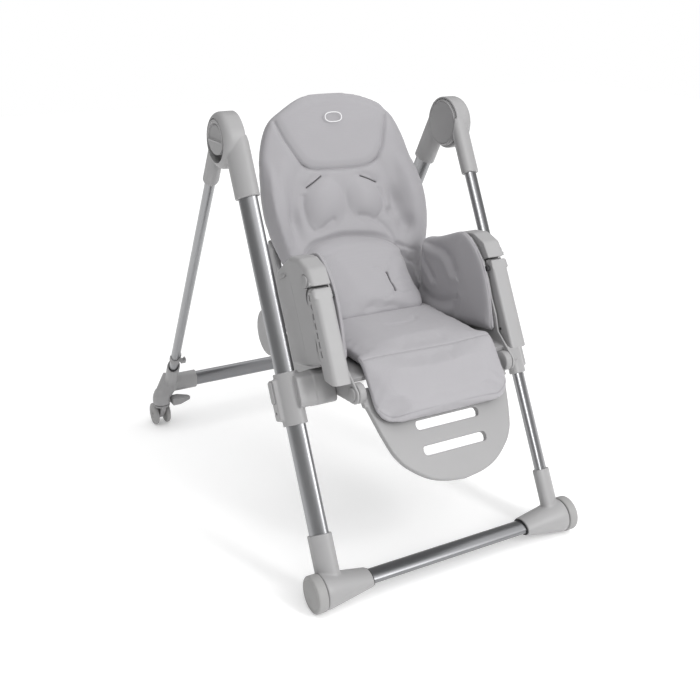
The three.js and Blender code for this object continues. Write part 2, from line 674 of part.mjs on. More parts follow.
const DASHES = 7;
const DASH = { y: -83, first: 385, pitch: 16.4, length: 10, width: 3 };

// A hollow bar, open at the back, with a row of short slots outside and two bores inside.
function armrest() {
  const [inner, outer] = ARMREST_X;
  const { ahead, up } = ARMREST_PIVOT;
  const [rear, front] = [ahead - ARMREST_RADIUS + 1, ahead + ARMREST_RADIUS];
  const lower = rounded([[rear, 349, 4], [front, 329, 6], [front, up], [rear, up]].map(inLeg), 3);
  const body = alongX(
    [...lower.slice(0, -1), ...arc(-ahead, up, ARMREST_RADIUS, 172, 20, 8), lower.at(-1)],
    inner,
    outer,
  );
  const dashes = Array.from({ length: DASHES }, (_, i) => {
    const low = DASH.first + DASH.pitch * i;
    const across = [DASH.y - DASH.width / 2, DASH.y + DASH.width / 2];
    return box([outer - 1.5, outer + 1], across, [low, low + DASH.length]);
  });
  return cut(
    body,
    box([inner + 3, outer - 3], [-front + 3.5, -rear + 1], [350, up - ARMREST_RADIUS - 2]),
    drum(5 + GAP, inner - 1, outer - 3.5, -ahead, up, 12),
    ...[476 - 12, 371].map((t) => drum(3, inner - 1, inner + 4, -78, t, 8)),
    ...dashes,
  );
}

// ---- Backrest ----

// Half the back's width at each height above its datum.
const BACK_HALF_WIDTH = [
  [0, -90], [118, -90], [130, -60], [147, -22], [160, 10], [172, 50], [179, 90], [180, 120], [178, 150],
  [174, 185], [169, 215], [161, 243], [150, 268], [135, 289], [115, 304], [85, 317], [45, 326], [0, 328],
];
const BACK_OUTLINE = bothSides(BACK_HALF_WIDTH);
// (y, z) of the recline axis in the back's own frame.
const RECLINE_LOCAL = (() => {
  const [dy, dz] = [RECLINE_AXIS.y - BACK_DATUM.y, RECLINE_AXIS.z - BACK_DATUM.z];
  const [c, s] = [Math.cos(BACK_TILT), Math.sin(BACK_TILT)];
  return [dy * c - dz * s, dy * s + dz * c];
})();
const BACK_RIM = { y: 4, bottom: -20, inner: 3.2, ledge: 8 }; // wall round the pad, and the ledge behind it
const ARM_X = [144, 158]; // the back's arms, which reach down to the recline shaft
const ARM_RADIUS = 41;
const HANDLE = { x: 42, z: [128, 158], depth: 9 };

// The padded front, with a cushion low down that swells out over the seat.
function backPad() {
  const swell = [
    [0, 34], [-8, 12], [-24, -22], [-46, -62], [-66, -96], [-76, -113], [-78, -119], [-74, -123],
    [-1, -96.5], [27, -86], [27, 34],
  ];
  return join(
    pillow(inset(BACK_OUTLINE, BACK_RIM.inner + GAP), BACK_PAD_DEPTH, 7)
      .rotateX(Math.PI / 2).translate(0, BACK_PAD_DEPTH, 0),
    alongX(swell, -128, 128),
  );
}

// A shallow pan that holds the pad inside its rim, with an arm down each side to the shaft.
function backShell() {
  const [front, back] = [BACK_PAD_DEPTH + GAP, BACK_SHELL_DEPTH];
  const [y, z] = RECLINE_LOCAL;
  const pan = cut(
    facing(BACK_OUTLINE, BACK_RIM.y, back),
    facing(inset(BACK_OUTLINE, BACK_RIM.inner), 0, front),
    facing(inset(BACK_OUTLINE, BACK_RIM.ledge), 0, back - 3.5),
    box([-200, 200], [0, front], [-120, BACK_RIM.bottom]),
  );
  const arm = join(
    drum(ARM_RADIUS, ...ARM_X, y, z),
    alongX([
      [front, 40], [back, 60], [y + 28, z + 30], [y + 20, z - 20], [y - 20, z - 35], [y - 38, z - 10],
      [front, -70],
    ], ...ARM_X),
  );
  const handleRoom = box(
    [-HANDLE.x - 6, HANDLE.x + 6], [back - 4, back + HANDLE.depth], [HANDLE.z[0] - 6, HANDLE.z[1] + 14],
  );
  const handleWell = box(
    [-HANDLE.x - GAP, HANDLE.x + GAP],
    [back - 0.5, back + HANDLE.depth + 1],
    [HANDLE.z[0] - GAP, HANDLE.z[1] + 8],
  );
  const shaft = drum(SHAFT_RADIUS + GAP, -170, 170, y, z, 12);
  return cut(join(pan, arm, mirrored(arm), handleRoom), handleWell, shaft);
}

function back() {
  const handleY = [BACK_SHELL_DEPTH, BACK_SHELL_DEPTH + HANDLE.depth - 1];
  const handle = box([-HANDLE.x, HANDLE.x], handleY, HANDLE.z);
  add(backrest, 'back_shell', backShell(), shellGrey);
  add(backrest, 'back_pad', backPad(), leather);
  add(backrest, 'recline_handle', handle, shellGreyDark);
  add(backrest, 'recline_shaft', drum(SHAFT_RADIUS, -165, 165, ...RECLINE_LOCAL, 12), steel);
}

// ---- Legrest ----

// Half the plate's width at each height below its axis.
const PLATE_HALF_WIDTH = [
  [0, -LEGREST_LENGTH], [40, -178.5], [73, -166], [104, -142], [119, -122], [126, -106], [135, -75],
  [148, -22], [148, -2], [0, -2],
];
const PLATE_SLOTS = [-77, -122];
const SLOT_HALF = { x: 65, z: 8.5 };
const SLOT_RADIUS = 8;
const BOSS = { x: [147, 161], radius: 18 };

// A panel with a turned-back edge, two long slots and a round boss at each upper corner.
function legrestPlate() {
  const plate = cut(
    facing(bothSides(PLATE_HALF_WIDTH), 0, LEGREST_THICK),
    facing(inset(bothSides(PLATE_HALF_WIDTH), 5), 3.5, LEGREST_THICK + 1),
  );
  const boss = join(
    drum(BOSS.radius, ...BOSS.x, 0, 0, 20),
    box([138, BOSS.x[0] + 4], [0, LEGREST_THICK], [-26, -3]),
  );
  const slots = PLATE_SLOTS.map((z) => facing(rounded([
    [-SLOT_HALF.x, z - SLOT_HALF.z, SLOT_RADIUS], [SLOT_HALF.x, z - SLOT_HALF.z, SLOT_RADIUS],
    [SLOT_HALF.x, z + SLOT_HALF.z, SLOT_RADIUS], [-SLOT_HALF.x, z + SLOT_HALF.z, SLOT_RADIUS],
  ], 3), -1, LEGREST_THICK + 1));
  return cut(join(plate, boss, mirrored(boss)), ...slots);
}

function legrestPad() {
  const shape = rounded([[-140, -12, 8], [-140, -67, 22], [140, -67, 22], [140, -12, 8]], 4);
  return pillow(shape, 20, 5).rotateX(Math.PI / 2).translate(0, -GAP, 0);
}

function legs() {
  const button = drum(LEGREST_BUTTON.radius, ...LEGREST_BUTTON.x, 0, 0);
  add(legrest, 'legrest_plate', legrestPlate(), shellGreyDark);
  add(legrest, 'legrest_pad', legrestPad(), leather);
  addPair(legrest, 'legrest_button', button, shellGreyDark);
}

frontFrame();
rearFrame();
casters();
seat();
addPair(frontLeg, 'armrest', armrest(), shellGrey);
back();
legs();

export default chair;
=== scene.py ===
"""A folding baby high chair, seen from its front left, on a pale studio floor.

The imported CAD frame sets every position. The pieces made here have the same sizes as the CAD nodes
that they stand for, with moulded edges, sewn covers and surface detail. Outlines are in millimetres,
in the frame of the leg, back or legrest that they belong to, and each frame's matrix turns them into
metres in the chair's frame. Right-hand pieces are made first and mirrored to make the left-hand ones.
"""

import json
import math

import bmesh
import bpy
import numpy as np
from mathutils import Matrix, Vector, noise


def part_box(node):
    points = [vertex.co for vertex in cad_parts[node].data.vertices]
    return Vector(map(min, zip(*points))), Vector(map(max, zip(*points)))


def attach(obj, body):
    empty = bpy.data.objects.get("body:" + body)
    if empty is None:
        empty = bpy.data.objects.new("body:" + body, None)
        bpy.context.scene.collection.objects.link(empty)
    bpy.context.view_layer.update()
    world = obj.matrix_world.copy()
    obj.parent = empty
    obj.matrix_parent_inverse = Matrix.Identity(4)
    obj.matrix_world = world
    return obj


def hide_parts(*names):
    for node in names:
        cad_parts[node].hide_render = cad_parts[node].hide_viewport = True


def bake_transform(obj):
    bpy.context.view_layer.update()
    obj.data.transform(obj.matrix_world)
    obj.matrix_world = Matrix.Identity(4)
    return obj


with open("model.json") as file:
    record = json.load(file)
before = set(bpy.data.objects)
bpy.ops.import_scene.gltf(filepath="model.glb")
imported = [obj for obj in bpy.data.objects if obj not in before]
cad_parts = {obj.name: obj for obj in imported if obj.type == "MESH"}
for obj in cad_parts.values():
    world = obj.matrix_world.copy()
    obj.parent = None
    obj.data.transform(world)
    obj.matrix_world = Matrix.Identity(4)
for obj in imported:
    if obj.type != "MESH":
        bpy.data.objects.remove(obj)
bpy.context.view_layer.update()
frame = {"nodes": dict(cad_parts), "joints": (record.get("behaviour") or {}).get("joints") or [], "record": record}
SCENE = bpy.context.scene

# ---- Where things are ----

MM = 0.001
JOINTS = {joint["name"]: joint for joint in frame["joints"]}


def middle(node):
    low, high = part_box(node)
    return (Vector(low) + Vector(high)) / 2


def frame_on(origin, tilt):
    """A frame in millimetres at origin (metres), with Z leaning back by tilt from the vertical."""
    place = Matrix.Translation((0, origin[1], origin[2]))
    return place @ Matrix.Rotation(-tilt, 4, "X") @ Matrix.Scale(MM, 4)


SLIDE_AXIS = JOINTS["seat_height"]["axis"]
HINGE = JOINTS["leg_fold"]["pos_m"]
RECLINE = JOINTS["back_recline"]["pos_m"]
LEGREST_PIVOT = JOINTS["legrest_angle"]["pos_m"]
FRONT_TILT = math.atan2(SLIDE_AXIS[1], SLIDE_AXIS[2])
REAR_TILT = math.radians(30.1)
BACK_TILT = math.radians(21.5)
LEGREST_TILT = math.radians(36.5)
FRONT = frame_on(middle("front_axle_left"), FRONT_TILT)
REAR = frame_on(middle("rear_crossbar"), -REAR_TILT)
BACK = frame_on((0, RECLINE[1] - 0.060, RECLINE[2] + 0.151), BACK_TILT)
LEGREST = frame_on(LEGREST_PIVOT, LEGREST_TILT)
CHAIR = Matrix.Scale(MM, 4)


def local(matrix, point):
    """(y, z) in millimetres, in a frame, of a point given in metres in the chair's frame."""
    p = matrix.inverted() @ Vector((0, point[1], point[2]))
    return p.y, p.z


FRONT_HINGE = local(FRONT, HINGE)
REAR_HINGE = local(REAR, HINGE)

# ---- Shapes: each is (vertices, faces), in millimetres ----


def prism(points, low, high, axis="X"):
    """A closed outline pushed along an axis. Its two numbers are the other two axes, in order."""
    place = {
        "X": lambda a, b, t: (t, a, b),
        "Y": lambda a, b, t: (a, t, b),
        "Z": lambda a, b, t: (a, b, t),
    }[axis]
    n = len(points)
    verts = [place(a, b, t) for t in (low, high) for a, b in points]
    sides = [(i, (i + 1) % n, n + (i + 1) % n, n + i) for i in range(n)]
    return verts, [tuple(range(n)), tuple(range(2 * n - 1, n - 1, -1))] + sides


def block(x, y, z):
    return prism([(y[0], z[0]), (y[1], z[0]), (y[1], z[1]), (y[0], z[1])], *x)


def oval(major, minor, turn=0.0, steps=64):
    points = []
    for i in range(steps):
        a = 2 * math.pi * i / steps
        u, v = major / 2 * math.cos(a), minor / 2 * math.sin(a)
        points.append((u * math.cos(turn) - v * math.sin(turn), u * math.sin(turn) + v * math.cos(turn)))
    return points


def superoval(a, b, power_a, power_b, steps):
    """An oval with fuller corners: a lower power is squarer."""
    turns = [2 * math.pi * i / steps for i in range(steps)]
    return [
        (a * math.copysign(abs(math.cos(t)) ** power_a, math.cos(t)),
         b * math.copysign(abs(math.sin(t)) ** power_b, math.sin(t)))
        for t in turns
    ]


def shifted(points, a, b):
    return [(p + a, q + b) for p, q in points]


def tube_faces(verts, n, closed=False):
    """Faces between rings of n points: ends capped or, if closed, the last ring joined to the first."""
    rings = len(verts) // n
    faces = [
        (k * n + i, k * n + (i + 1) % n, (k + 1) % rings * n + (i + 1) % n, (k + 1) % rings * n + i)
        for k in range(rings if closed else rings - 1)
        for i in range(n)
    ]
    if closed:
        return faces
    return faces + [tuple(range(n)), tuple(range(len(verts) - 1, len(verts) - n - 1, -1))]


def lathe(profile, y=0.0, z=0.0, steps=64, axis="X", x=0.0):
    """A profile of (radius, along) turned about an axis along X at (y, z), or along Z at (x, y)."""
    verts = []
    for radius, along in profile:
        for i in range(steps):
            a = 2 * math.pi * i / steps
            p, q = radius * math.cos(a), radius * math.sin(a)
            verts.append((along, y + p, z + q) if axis == "X" else (x + p, y + q, along))
    return verts, tube_faces(verts, steps)


def drum(radius, low, high, y=0.0, z=0.0, steps=64):
    return lathe([(radius, low), (radius, high)], y, z, steps)


def bend(y, z, radius, start, end, steps):
    """Points on an arc; angles in degrees."""
    turns = [math.radians(start + (end - start) * i / steps) for i in range(steps + 1)]
    return [(y + radius * math.cos(a), z + radius * math.sin(a)) for a in turns]


def rounded(corners, steps=6):
    """Corner points (a, b, radius) of a closed outline, each one rounded."""
    points = []
    for i, (a, b, radius) in enumerate(corners):
        here = Vector((a, b))
        before = (Vector(corners[i - 1][:2]) - here).normalized()
        after = (Vector(corners[(i + 1) % len(corners)][:2]) - here).normalized()
        if not radius:
            points.append((a, b))
            continue
        reach = radius / math.tan(before.angle(after) / 2)
        for k in range(steps + 1):
            t = k / steps
            start, end = here + before * reach, here + after * reach
            p = start * (1 - t) ** 2 + here * 2 * t * (1 - t) + end * t * t
            points.append((p.x, p.y))
    return points


def rectangle(a, b, radius, steps=6):
    """An outline from a[0] to a[1] and from b[0] to b[1], with rounded corners."""
    corners = [(a[0], b[0]), (a[1], b[0]), (a[1], b[1]), (a[0], b[1])]
    return rounded([(*corner, radius) for corner in corners], steps)


def smooth_path(points, steps=6, closed=False):
    """A Catmull-Rom curve through the points."""
    p = [Vector(q) for q in points]
    n = len(p)
    if not closed:
        p = [2 * p[0] - p[1]] + p + [2 * p[-1] - p[-2]]
    out = []
    for i in range(n if closed else n - 1):
        a, b, c, d = (p[(i + k - 1) % n] for k in range(4)) if closed else p[i : i + 4]
        for k in range(steps):
            t = k / steps
            square, cube = 2 * a - 5 * b + 4 * c - d, 3 * b - a - 3 * c + d
            out.append(tuple(0.5 * (2 * b + (c - a) * t + square * t**2 + cube * t**3)))
    if not closed:
        out.append(tuple(p[-2]))
    return out


def smooth_paths(*paths):
    return [smooth_path(path) for path in paths]


def offset(points, distance):
    """A closed outline with every point moved inwards by a distance, square to the outline."""
    area = sum(a[0] * b[1] - b[0] * a[1] for a, b in zip(points, points[1:] + points[:1]))
    sign = 1 if area > 0 else -1
    out = []
    n = len(points)
    for i in range(n):
        along = Vector(points[(i + 1) % n]) - Vector(points[i - 1])
        if along.length < 1e-6:
            out.append(points[i])
            continue
        normal = Vector((-along.y, along.x)).normalized() * sign
        out.append((points[i][0] + normal.x * distance, points[i][1] + normal.y * distance))
    return out


def soft_prism(points, low, high, low_round, high_round, axis="X", steps=5):
    """A prism whose two ends have rounded edges."""
    layers = []
    for at, size, sign in ((low, low_round, 1), (high, high_round, -1)):
        ring = []
        for k in range(steps + 1 if size else 1):
            a = math.pi / 2 * k / steps if size else math.pi / 2
            ring.append((size * (1 - math.sin(a)), at + sign * size * (1 - math.cos(a))))
        layers += ring if sign == 1 else ring[::-1]
    verts = []
    n = len(points)
    for inward, at in layers:
        ring = offset(points, inward) if inward > 1e-6 else points
        verts += prism(ring, at, at, axis)[0][:n]
    return verts, tube_faces(verts, n)


def hull(points):
    """The smallest closed solid that holds all the points."""
    work = bmesh.new()
    for p in points:
        work.verts.new(p)
    found = bmesh.ops.convex_hull(work, input=work.verts)
    bmesh.ops.delete(work, geom=list({*found["geom_interior"], *found["geom_unused"]}), context="VERTS")
    work.verts.index_update()
    shape = [tuple(v.co) for v in work.verts], [tuple(v.index for v in f.verts) for f in work.faces]
    work.free()
    return shape


def leg_oval(grow, turn):
    """The legs' oval section, grown all round."""
    return oval(TUBE[0] + 2 * grow, TUBE[1] + 2 * grow, turn)


def tube_bar(grow, turn, x, low, high):
    """A bar with the legs' section, along Z."""
    return prism(shifted(leg_oval(grow, turn), x, 0.0), low, high, "Z")


# ---- Pieces ----


def add(name, data):
    piece = bpy.data.objects.new(name, data)
    SCENE.collection.objects.link(piece)
    return piece


def raw(name, shapes, matrix):
    """One object from several closed shells, in metres."""
    work = bmesh.new()
    for verts, faces in shapes:
        made = [work.verts.new(matrix @ Vector(v)) for v in verts]
        for face in faces:
            work.faces.new([made[i] for i in face])
    bmesh.ops.recalc_face_normals(work, faces=work.faces)
    mesh = bpy.data.meshes.new(name)
    work.to_mesh(mesh)
    work.free()
    return add(name, mesh)


def settle(piece):
    """Makes a piece's modifiers part of its mesh."""
    graph = bpy.context.evaluated_depsgraph_get()
    mesh = bpy.data.meshes.new_from_object(piece.evaluated_get(graph))
    piece.modifiers.clear()
    old = piece.data
    piece.data = mesh
    bpy.data.meshes.remove(old)
    return piece


def remesh(piece, voxel):
    step = piece.modifiers.new("remesh", "REMESH")
    step.mode = "VOXEL"
    step.voxel_size = voxel * MM
    return settle(piece)


def relax(piece, times, factor=0.5):
    step = piece.modifiers.new("relax", "SMOOTH")
    step.factor = factor
    step.iterations = times
    return settle(piece)


def carve(piece, shapes, matrix, solver="MANIFOLD"):
    for shape in shapes:
        tool = raw("tool", [shape], matrix)
        step = piece.modifiers.new("carve", "BOOLEAN")
        step.operation = "DIFFERENCE"
        step.solver = solver
        step.object = tool
        settle(piece)
        bpy.data.objects.remove(tool)
    return piece


def join(piece, other):
    """Adds another object's shells to a piece, and removes that object."""
    work = bmesh.new()
    work.from_mesh(piece.data)
    work.from_mesh(other.data)
    work.to_mesh(piece.data)
    work.free()
    bpy.data.objects.remove(other)
    return piece


def shade(piece, angle=35):
    """Smooth shading, with a crisp edge where faces meet at more than the angle in degrees."""
    for face in piece.data.polygons:
        face.use_smooth = True
    piece.data.set_sharp_from_angle(angle=math.radians(angle))
    return piece


def coat(piece, material):
    piece.data.materials.clear()
    piece.data.materials.append(material)


def dress(piece, body, material, replaces=()):
    coat(piece, material)
    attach(piece, body)
    if replaces:
        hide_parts(*replaces)
    return piece


def mirror(piece, name):
    mesh = piece.data.copy()
    mesh.transform(Matrix.Scale(-1, 4, (1, 0, 0)))
    mesh.flip_normals()
    return add(name, mesh)


def pair(right, name, body, material, replaces=()):
    """Dresses a right-hand piece and makes its left-hand twin; {} in a name is the side."""
    left = mirror(right, f"{name}_left")
    right.name = f"{name}_right"
    for piece, side in ((right, "right"), (left, "left")):
        dress(piece, body.format(side), material, [node.format(side) for node in replaces])
    return right, left


def moulded(name, shapes, matrix, cuts=(), voxel=1.2, soften=6, crisp=()):
    """Shapes joined into one moulding with soft edges: cuts come before the softening, crisp ones after."""
    piece = remesh(raw(name, shapes, matrix), voxel)
    if cuts:
        carve(piece, cuts, matrix)
        remesh(piece, voxel)
    relax(piece, soften)
    if crisp:
        carve(piece, crisp, matrix)
    return shade(piece, 40)


# ---- Materials ----


def new_material(name, color, roughness, metallic=0.0):
    material = bpy.data.materials.new(name)
    material.use_nodes = True
    shader = material.node_tree.nodes["Principled BSDF"]
    shader.inputs["Base Color"].default_value = (*color, 1)
    shader.inputs["Roughness"].default_value = roughness
    shader.inputs["Metallic"].default_value = metallic
    return material, material.node_tree, shader


def node(tree, kind, **values):
    """A new node. Each value sets a property or an input; a socket is linked to the input instead."""
    made = tree.nodes.new(kind)
    for key, value in values.items():
        if hasattr(made, key):
            setattr(made, key, value)
            continue
        socket = made.inputs[key.replace("_", " ")]
        if isinstance(value, bpy.types.NodeSocket):
            tree.links.new(value, socket)
        else:
            socket.default_value = value
    return made


def feed(tree, shader, **fields):
    for key, field in fields.items():
        tree.links.new(field, shader.inputs[key.replace("_", " ")])


def grain(tree, scale, detail=2.0, stretch=(1, 1, 1)):
    """A noise field over the object, in metres."""
    place = node(tree, "ShaderNodeTexCoord").outputs["Object"]
    mapping = node(tree, "ShaderNodeMapping", Scale=stretch, Vector=place)
    made = node(tree, "ShaderNodeTexNoise", Scale=scale, Detail=detail, Vector=mapping.outputs["Vector"])
    return made.outputs["Fac"]


def between(tree, field, low, high):
    return node(tree, "ShaderNodeMapRange", Value=field, To_Min=low, To_Max=high).outputs["Result"]


def mixed(tree, field, a, b, mode="MIX"):
    """From a to b by a field."""
    made = node(tree, "ShaderNodeMix", data_type="RGBA", blend_type=mode, Factor=field, A=a, B=b)
    return made.outputs["Result"]


def tinted(tree, color, field, spread):
    """A colour, a little darker and lighter by a field."""
    return mixed(tree, field, *((*(c * (1 + part) for c in color), 1) for part in (-spread, spread)))


def computed(tree, operation, *fields):
    made = node(tree, "ShaderNodeMath", operation=operation)
    for field, socket in zip(fields, made.inputs):
        tree.links.new(field, socket)
    return made.outputs["Value"]


def bump(tree, field, strength, distance, **after):
    made = node(tree, "ShaderNodeBump", Strength=strength, Distance=distance, Height=field, **after)
    return made.outputs["Normal"]


def plastic(name, color, roughness):
    """Moulded plastic: spark-eroded grain, slight cloudiness, and convex edges a little lighter."""
    material, tree, shader = new_material(name, color, roughness)
    corners = node(tree, "ShaderNodeNewGeometry").outputs["Pointiness"]
    # Convex edges, found by their pointiness, are made a little lighter in colour.
    edge_lightening = node(tree, "ShaderNodeMapRange", Value=corners, From_Min=0.54, From_Max=0.66, To_Max=0.45)
    lighter_edge_color = (*(min(1, c * 1.22) for c in color), 1)
    cloudy = tinted(tree, color, grain(tree, 14, 3), 0.035)
    feed(
        tree,
        shader,
        Base_Color=mixed(tree, edge_lightening.outputs["Result"], cloudy, lighter_edge_color),
        Roughness=between(tree, grain(tree, 60, 4), roughness - 0.06, roughness + 0.08),
        Normal=bump(tree, grain(tree, 1500, 2), 0.12, 0.0002),
    )
    return material


def metal(name, color, roughness, stretch):
    """Drawn metal with fine lines along its length and a few faint smears."""
    material, tree, shader = new_material(name, color, roughness, 1.0)
    lines = grain(tree, 900, 3, stretch)
    drawn = between(tree, lines, roughness - 0.04, roughness + 0.04)
    smears = between(tree, grain(tree, 25, 4), -0.03, 0.05)
    feed(
        tree,
        shader,
        Base_Color=tinted(tree, color, grain(tree, 9, 3), 0.05),
        Roughness=computed(tree, "ADD", drawn, smears),
        Normal=bump(tree, lines, 0.02, 0.00005),
    )
    return material


def cover_cloth(name, color):
    """Coated cloth: a fine plain weave under a soft satin coat, with painted shade inside slits and along seams.
    """
    material, tree, shader = new_material(name, color, 0.62)
    shader.inputs["Sheen Weight"].default_value = 0.22
    shader.inputs["Sheen Roughness"].default_value = 0.45
    place = node(tree, "ShaderNodeTexCoord").outputs["Object"]
    threads = []
    for turn in (0.0, math.pi / 2):
        mapping = node(tree, "ShaderNodeMapping", Vector=place, Rotation=(math.radians(38), turn, turn))
        wave = node(tree, "ShaderNodeTexWave", Scale=270, Distortion=4, Detail=3,
                    Vector=mapping.outputs["Vector"])
        threads.append(wave.outputs["Fac"])
    weave = computed(tree, "MULTIPLY", *threads)
    cloudy = tinted(tree, color, grain(tree, 11, 4), 0.03)
    flecked = mixed(tree, weave, cloudy, (0.97, 0.97, 0.97, 1), "MULTIPLY")
    # The shadow attribute paints shade into the colour inside slits and seam grooves.
    shadow = node(tree, "ShaderNodeAttribute", attribute_name="shadow").outputs["Fac"]
    creases = bump(tree, weave, 0.08, 0.0003)
    feed(
        tree,
        shader,
        Base_Color=mixed(tree, shadow, flecked, (*(c * 0.12 for c in color), 1)),
        Roughness=between(tree, grain(tree, 45, 4), 0.55, 0.7),
        Normal=bump(tree, grain(tree, 110, 4), 0.12, 0.0006, Normal=creases),
    )
    return material


SHELL = plastic("shell_plastic", (0.325, 0.322, 0.325), 0.42)
SHELL_DARK = plastic("shell_plastic_dark", (0.30, 0.297, 0.30), 0.46)
WHEEL = plastic("wheel_plastic", (0.31, 0.307, 0.305), 0.55)
RUBBER = plastic("black_rubber", (0.03, 0.03, 0.032), 0.6)
TUBE_METAL = metal("anodised_tube", (0.32, 0.322, 0.33), 0.31, (1, 0.04, 0.04))
BAR_METAL = metal("anodised_bar", (0.24, 0.242, 0.25), 0.34, (0.03, 1, 1))
STEEL = metal("bright_steel", (0.62, 0.62, 0.64), 0.2, (1, 1, 1))
COVER = cover_cloth("cover_cloth", (0.335, 0.327, 0.343))
BADGE = plastic("badge_print", (0.72, 0.72, 0.73), 0.35)

LOOKS = {"shell": SHELL, "shell_dark": SHELL_DARK, "tube": TUBE_METAL, "steel": STEEL, "wheel": WHEEL,
         "cover": COVER}
SLOTS = {subpart["node"]: subpart["material_slot"] for subpart in frame["record"]["subparts"]}
for name, piece in frame["nodes"].items():
    # Only the end of an armrest's pin shows, in the shadow behind the arm: it is coloured black rubber as painted
    # shade.
    coat(piece, RUBBER if "armrest_pin" in name else LOOKS[SLOTS[name]])

# ---- Camera and light ----

CAMERA_AT = Vector((-0.8917, -1.6005, 1.0183))
YAW, PITCH, ROLL = (math.radians(a) for a in (-28.17, -18.16, -0.10))
ahead = Vector((-math.sin(YAW) * math.cos(PITCH), math.cos(YAW) * math.cos(PITCH), math.sin(PITCH)))
right = Vector((math.cos(YAW), math.sin(YAW), 0))
up = right.cross(ahead)
turned = Matrix.Rotation(ROLL, 3, ahead)
camera = add("camera", bpy.data.cameras.new("camera"))
camera.matrix_world = Matrix.Translation(CAMERA_AT) @ (
    turned @ Matrix((right, up, -ahead)).transposed()
).to_4x4()
camera.data.sensor_width = 36
camera.data.lens = 48.66
camera.data.shift_x = 0.0307
camera.data.shift_y = -0.0877
SCENE.camera = camera

AMBIENT = 0.33
BACKDROP = 1.0
SCENE.view_settings.view_transform = "Standard"
world = bpy.data.worlds.new("studio")
SCENE.world = world
world.use_nodes = True
sky = world.node_tree
seen = node(sky, "ShaderNodeLightPath").outputs["Is Camera Ray"]
background = sky.nodes["Background"]
background.inputs["Color"].default_value = (1.0, 1.0, 1.0, 1)
feed(sky, background, Strength=between(sky, seen, AMBIENT, BACKDROP))

softbox = add("front_right", bpy.data.lights.new("front_right", "AREA"))
softbox.location = (0.9, -2.76, 1.78)
softbox.rotation_euler = (Vector((0, -0.2, 0.35)) - softbox.location).to_track_quat("-Z", "Y").to_euler()
softbox.data.shape = "RECTANGLE"
softbox.data.size, softbox.data.size_y = 0.5, 1.9
softbox.data.energy = 38
overhead = add("overhead", bpy.data.lights.new("overhead", "SUN"))
overhead.data.angle = math.radians(100)
overhead.data.energy = 2.3
overhead.rotation_euler = Vector((0.15, -0.3, 1)).to_track_quat("Z", "Y").to_euler()

floor = raw("floor", [([(-6, -6, 0), (6, -6, 0), (6, 6, 0), (-6, 6, 0)], [(0, 1, 2, 3)])], Matrix())
FLOOR_COLOR = (0.92, 0.92, 0.92)
floor_material, floor_tree, floor_shader = new_material("pale_floor", FLOOR_COLOR, 0.9)
feed(floor_tree, floor_shader, Base_Color=tinted(floor_tree, FLOOR_COLOR, grain(floor_tree, 2, 2), 0.004))
floor_shader.inputs["Emission Color"].default_value = (1, 1, 1, 1)
floor_shader.inputs["Emission Strength"].default_value = 0.2
floor.data.materials.append(floor_material)

# ---- Front frame ----

TUBE = (35, 20.5)
FRONT_TURN = math.radians(33)
REAR_TURN = math.radians(120)
FRONT_X = 242
REAR_X = 245
GAP = 0.3
SOCKET = 66
HUB_OUTER = 236
HUB_INNER = 228
HINGE_OUTER = 268
HINGE_RADIUS = 52
SKIRT_BORE = 47.7
SLEEVE = 4.5
SLEEVE_LENGTH = 119
RECESS = 17
BUTTON_RADIUS = 39.4
BUTTON_THICK = 8
BUTTON_LIFT = 14
BUTTON_TRAVEL = 8
ARCH_RADIUS = 30
WHEEL_RADIUS = 32.5
WHEEL_X = (261, 280)


def straight_tube(name, turn, x, low, high, matrix):
    bore = tube_bar(-1.8, turn, x, low - 5, high + 5)
    return shade(carve(raw(name, [tube_bar(0, turn, x, low, high)], matrix), [bore], matrix), 30)


def hinge_housing():
    y, z = FRONT_HINGE
    edge = 15
    rim = [(HINGE_RADIUS, HUB_OUTER + GAP)]
    rim += [(r, x) for r, x in bend(HINGE_RADIUS - edge, HINGE_OUTER - edge, edge, 0, 76, 12)]
    profile = [(0.5, HUB_OUTER + GAP)] + rim + [(41.5, HINGE_OUTER), (0.5, HINGE_OUTER)]
    skirt = bend(y, z, HINGE_RADIUS, 2, 245, 60) + bend(y, z, SKIRT_BORE, 245, 2, 60)
    end = z - SLEEVE_LENGTH
    return moulded(
        "hinge_housing",
        [
            lathe(profile, y, z, 96),
            prism(skirt, HUB_INNER + 1, HUB_OUTER + 2),
            tube_bar(SLEEVE + 0.8, FRONT_TURN, FRONT_X, end, z - 8),
        ],
        FRONT,
        cuts=[drum(SKIRT_BORE, 190, HUB_OUTER + GAP, y, z, 96)],
        soften=5,
        crisp=[
            drum(40.2, HINGE_OUTER - RECESS, 300, y, z, 96),
            tube_bar(GAP, FRONT_TURN, FRONT_X, end - 5, z - SOCKET),
        ],
    )


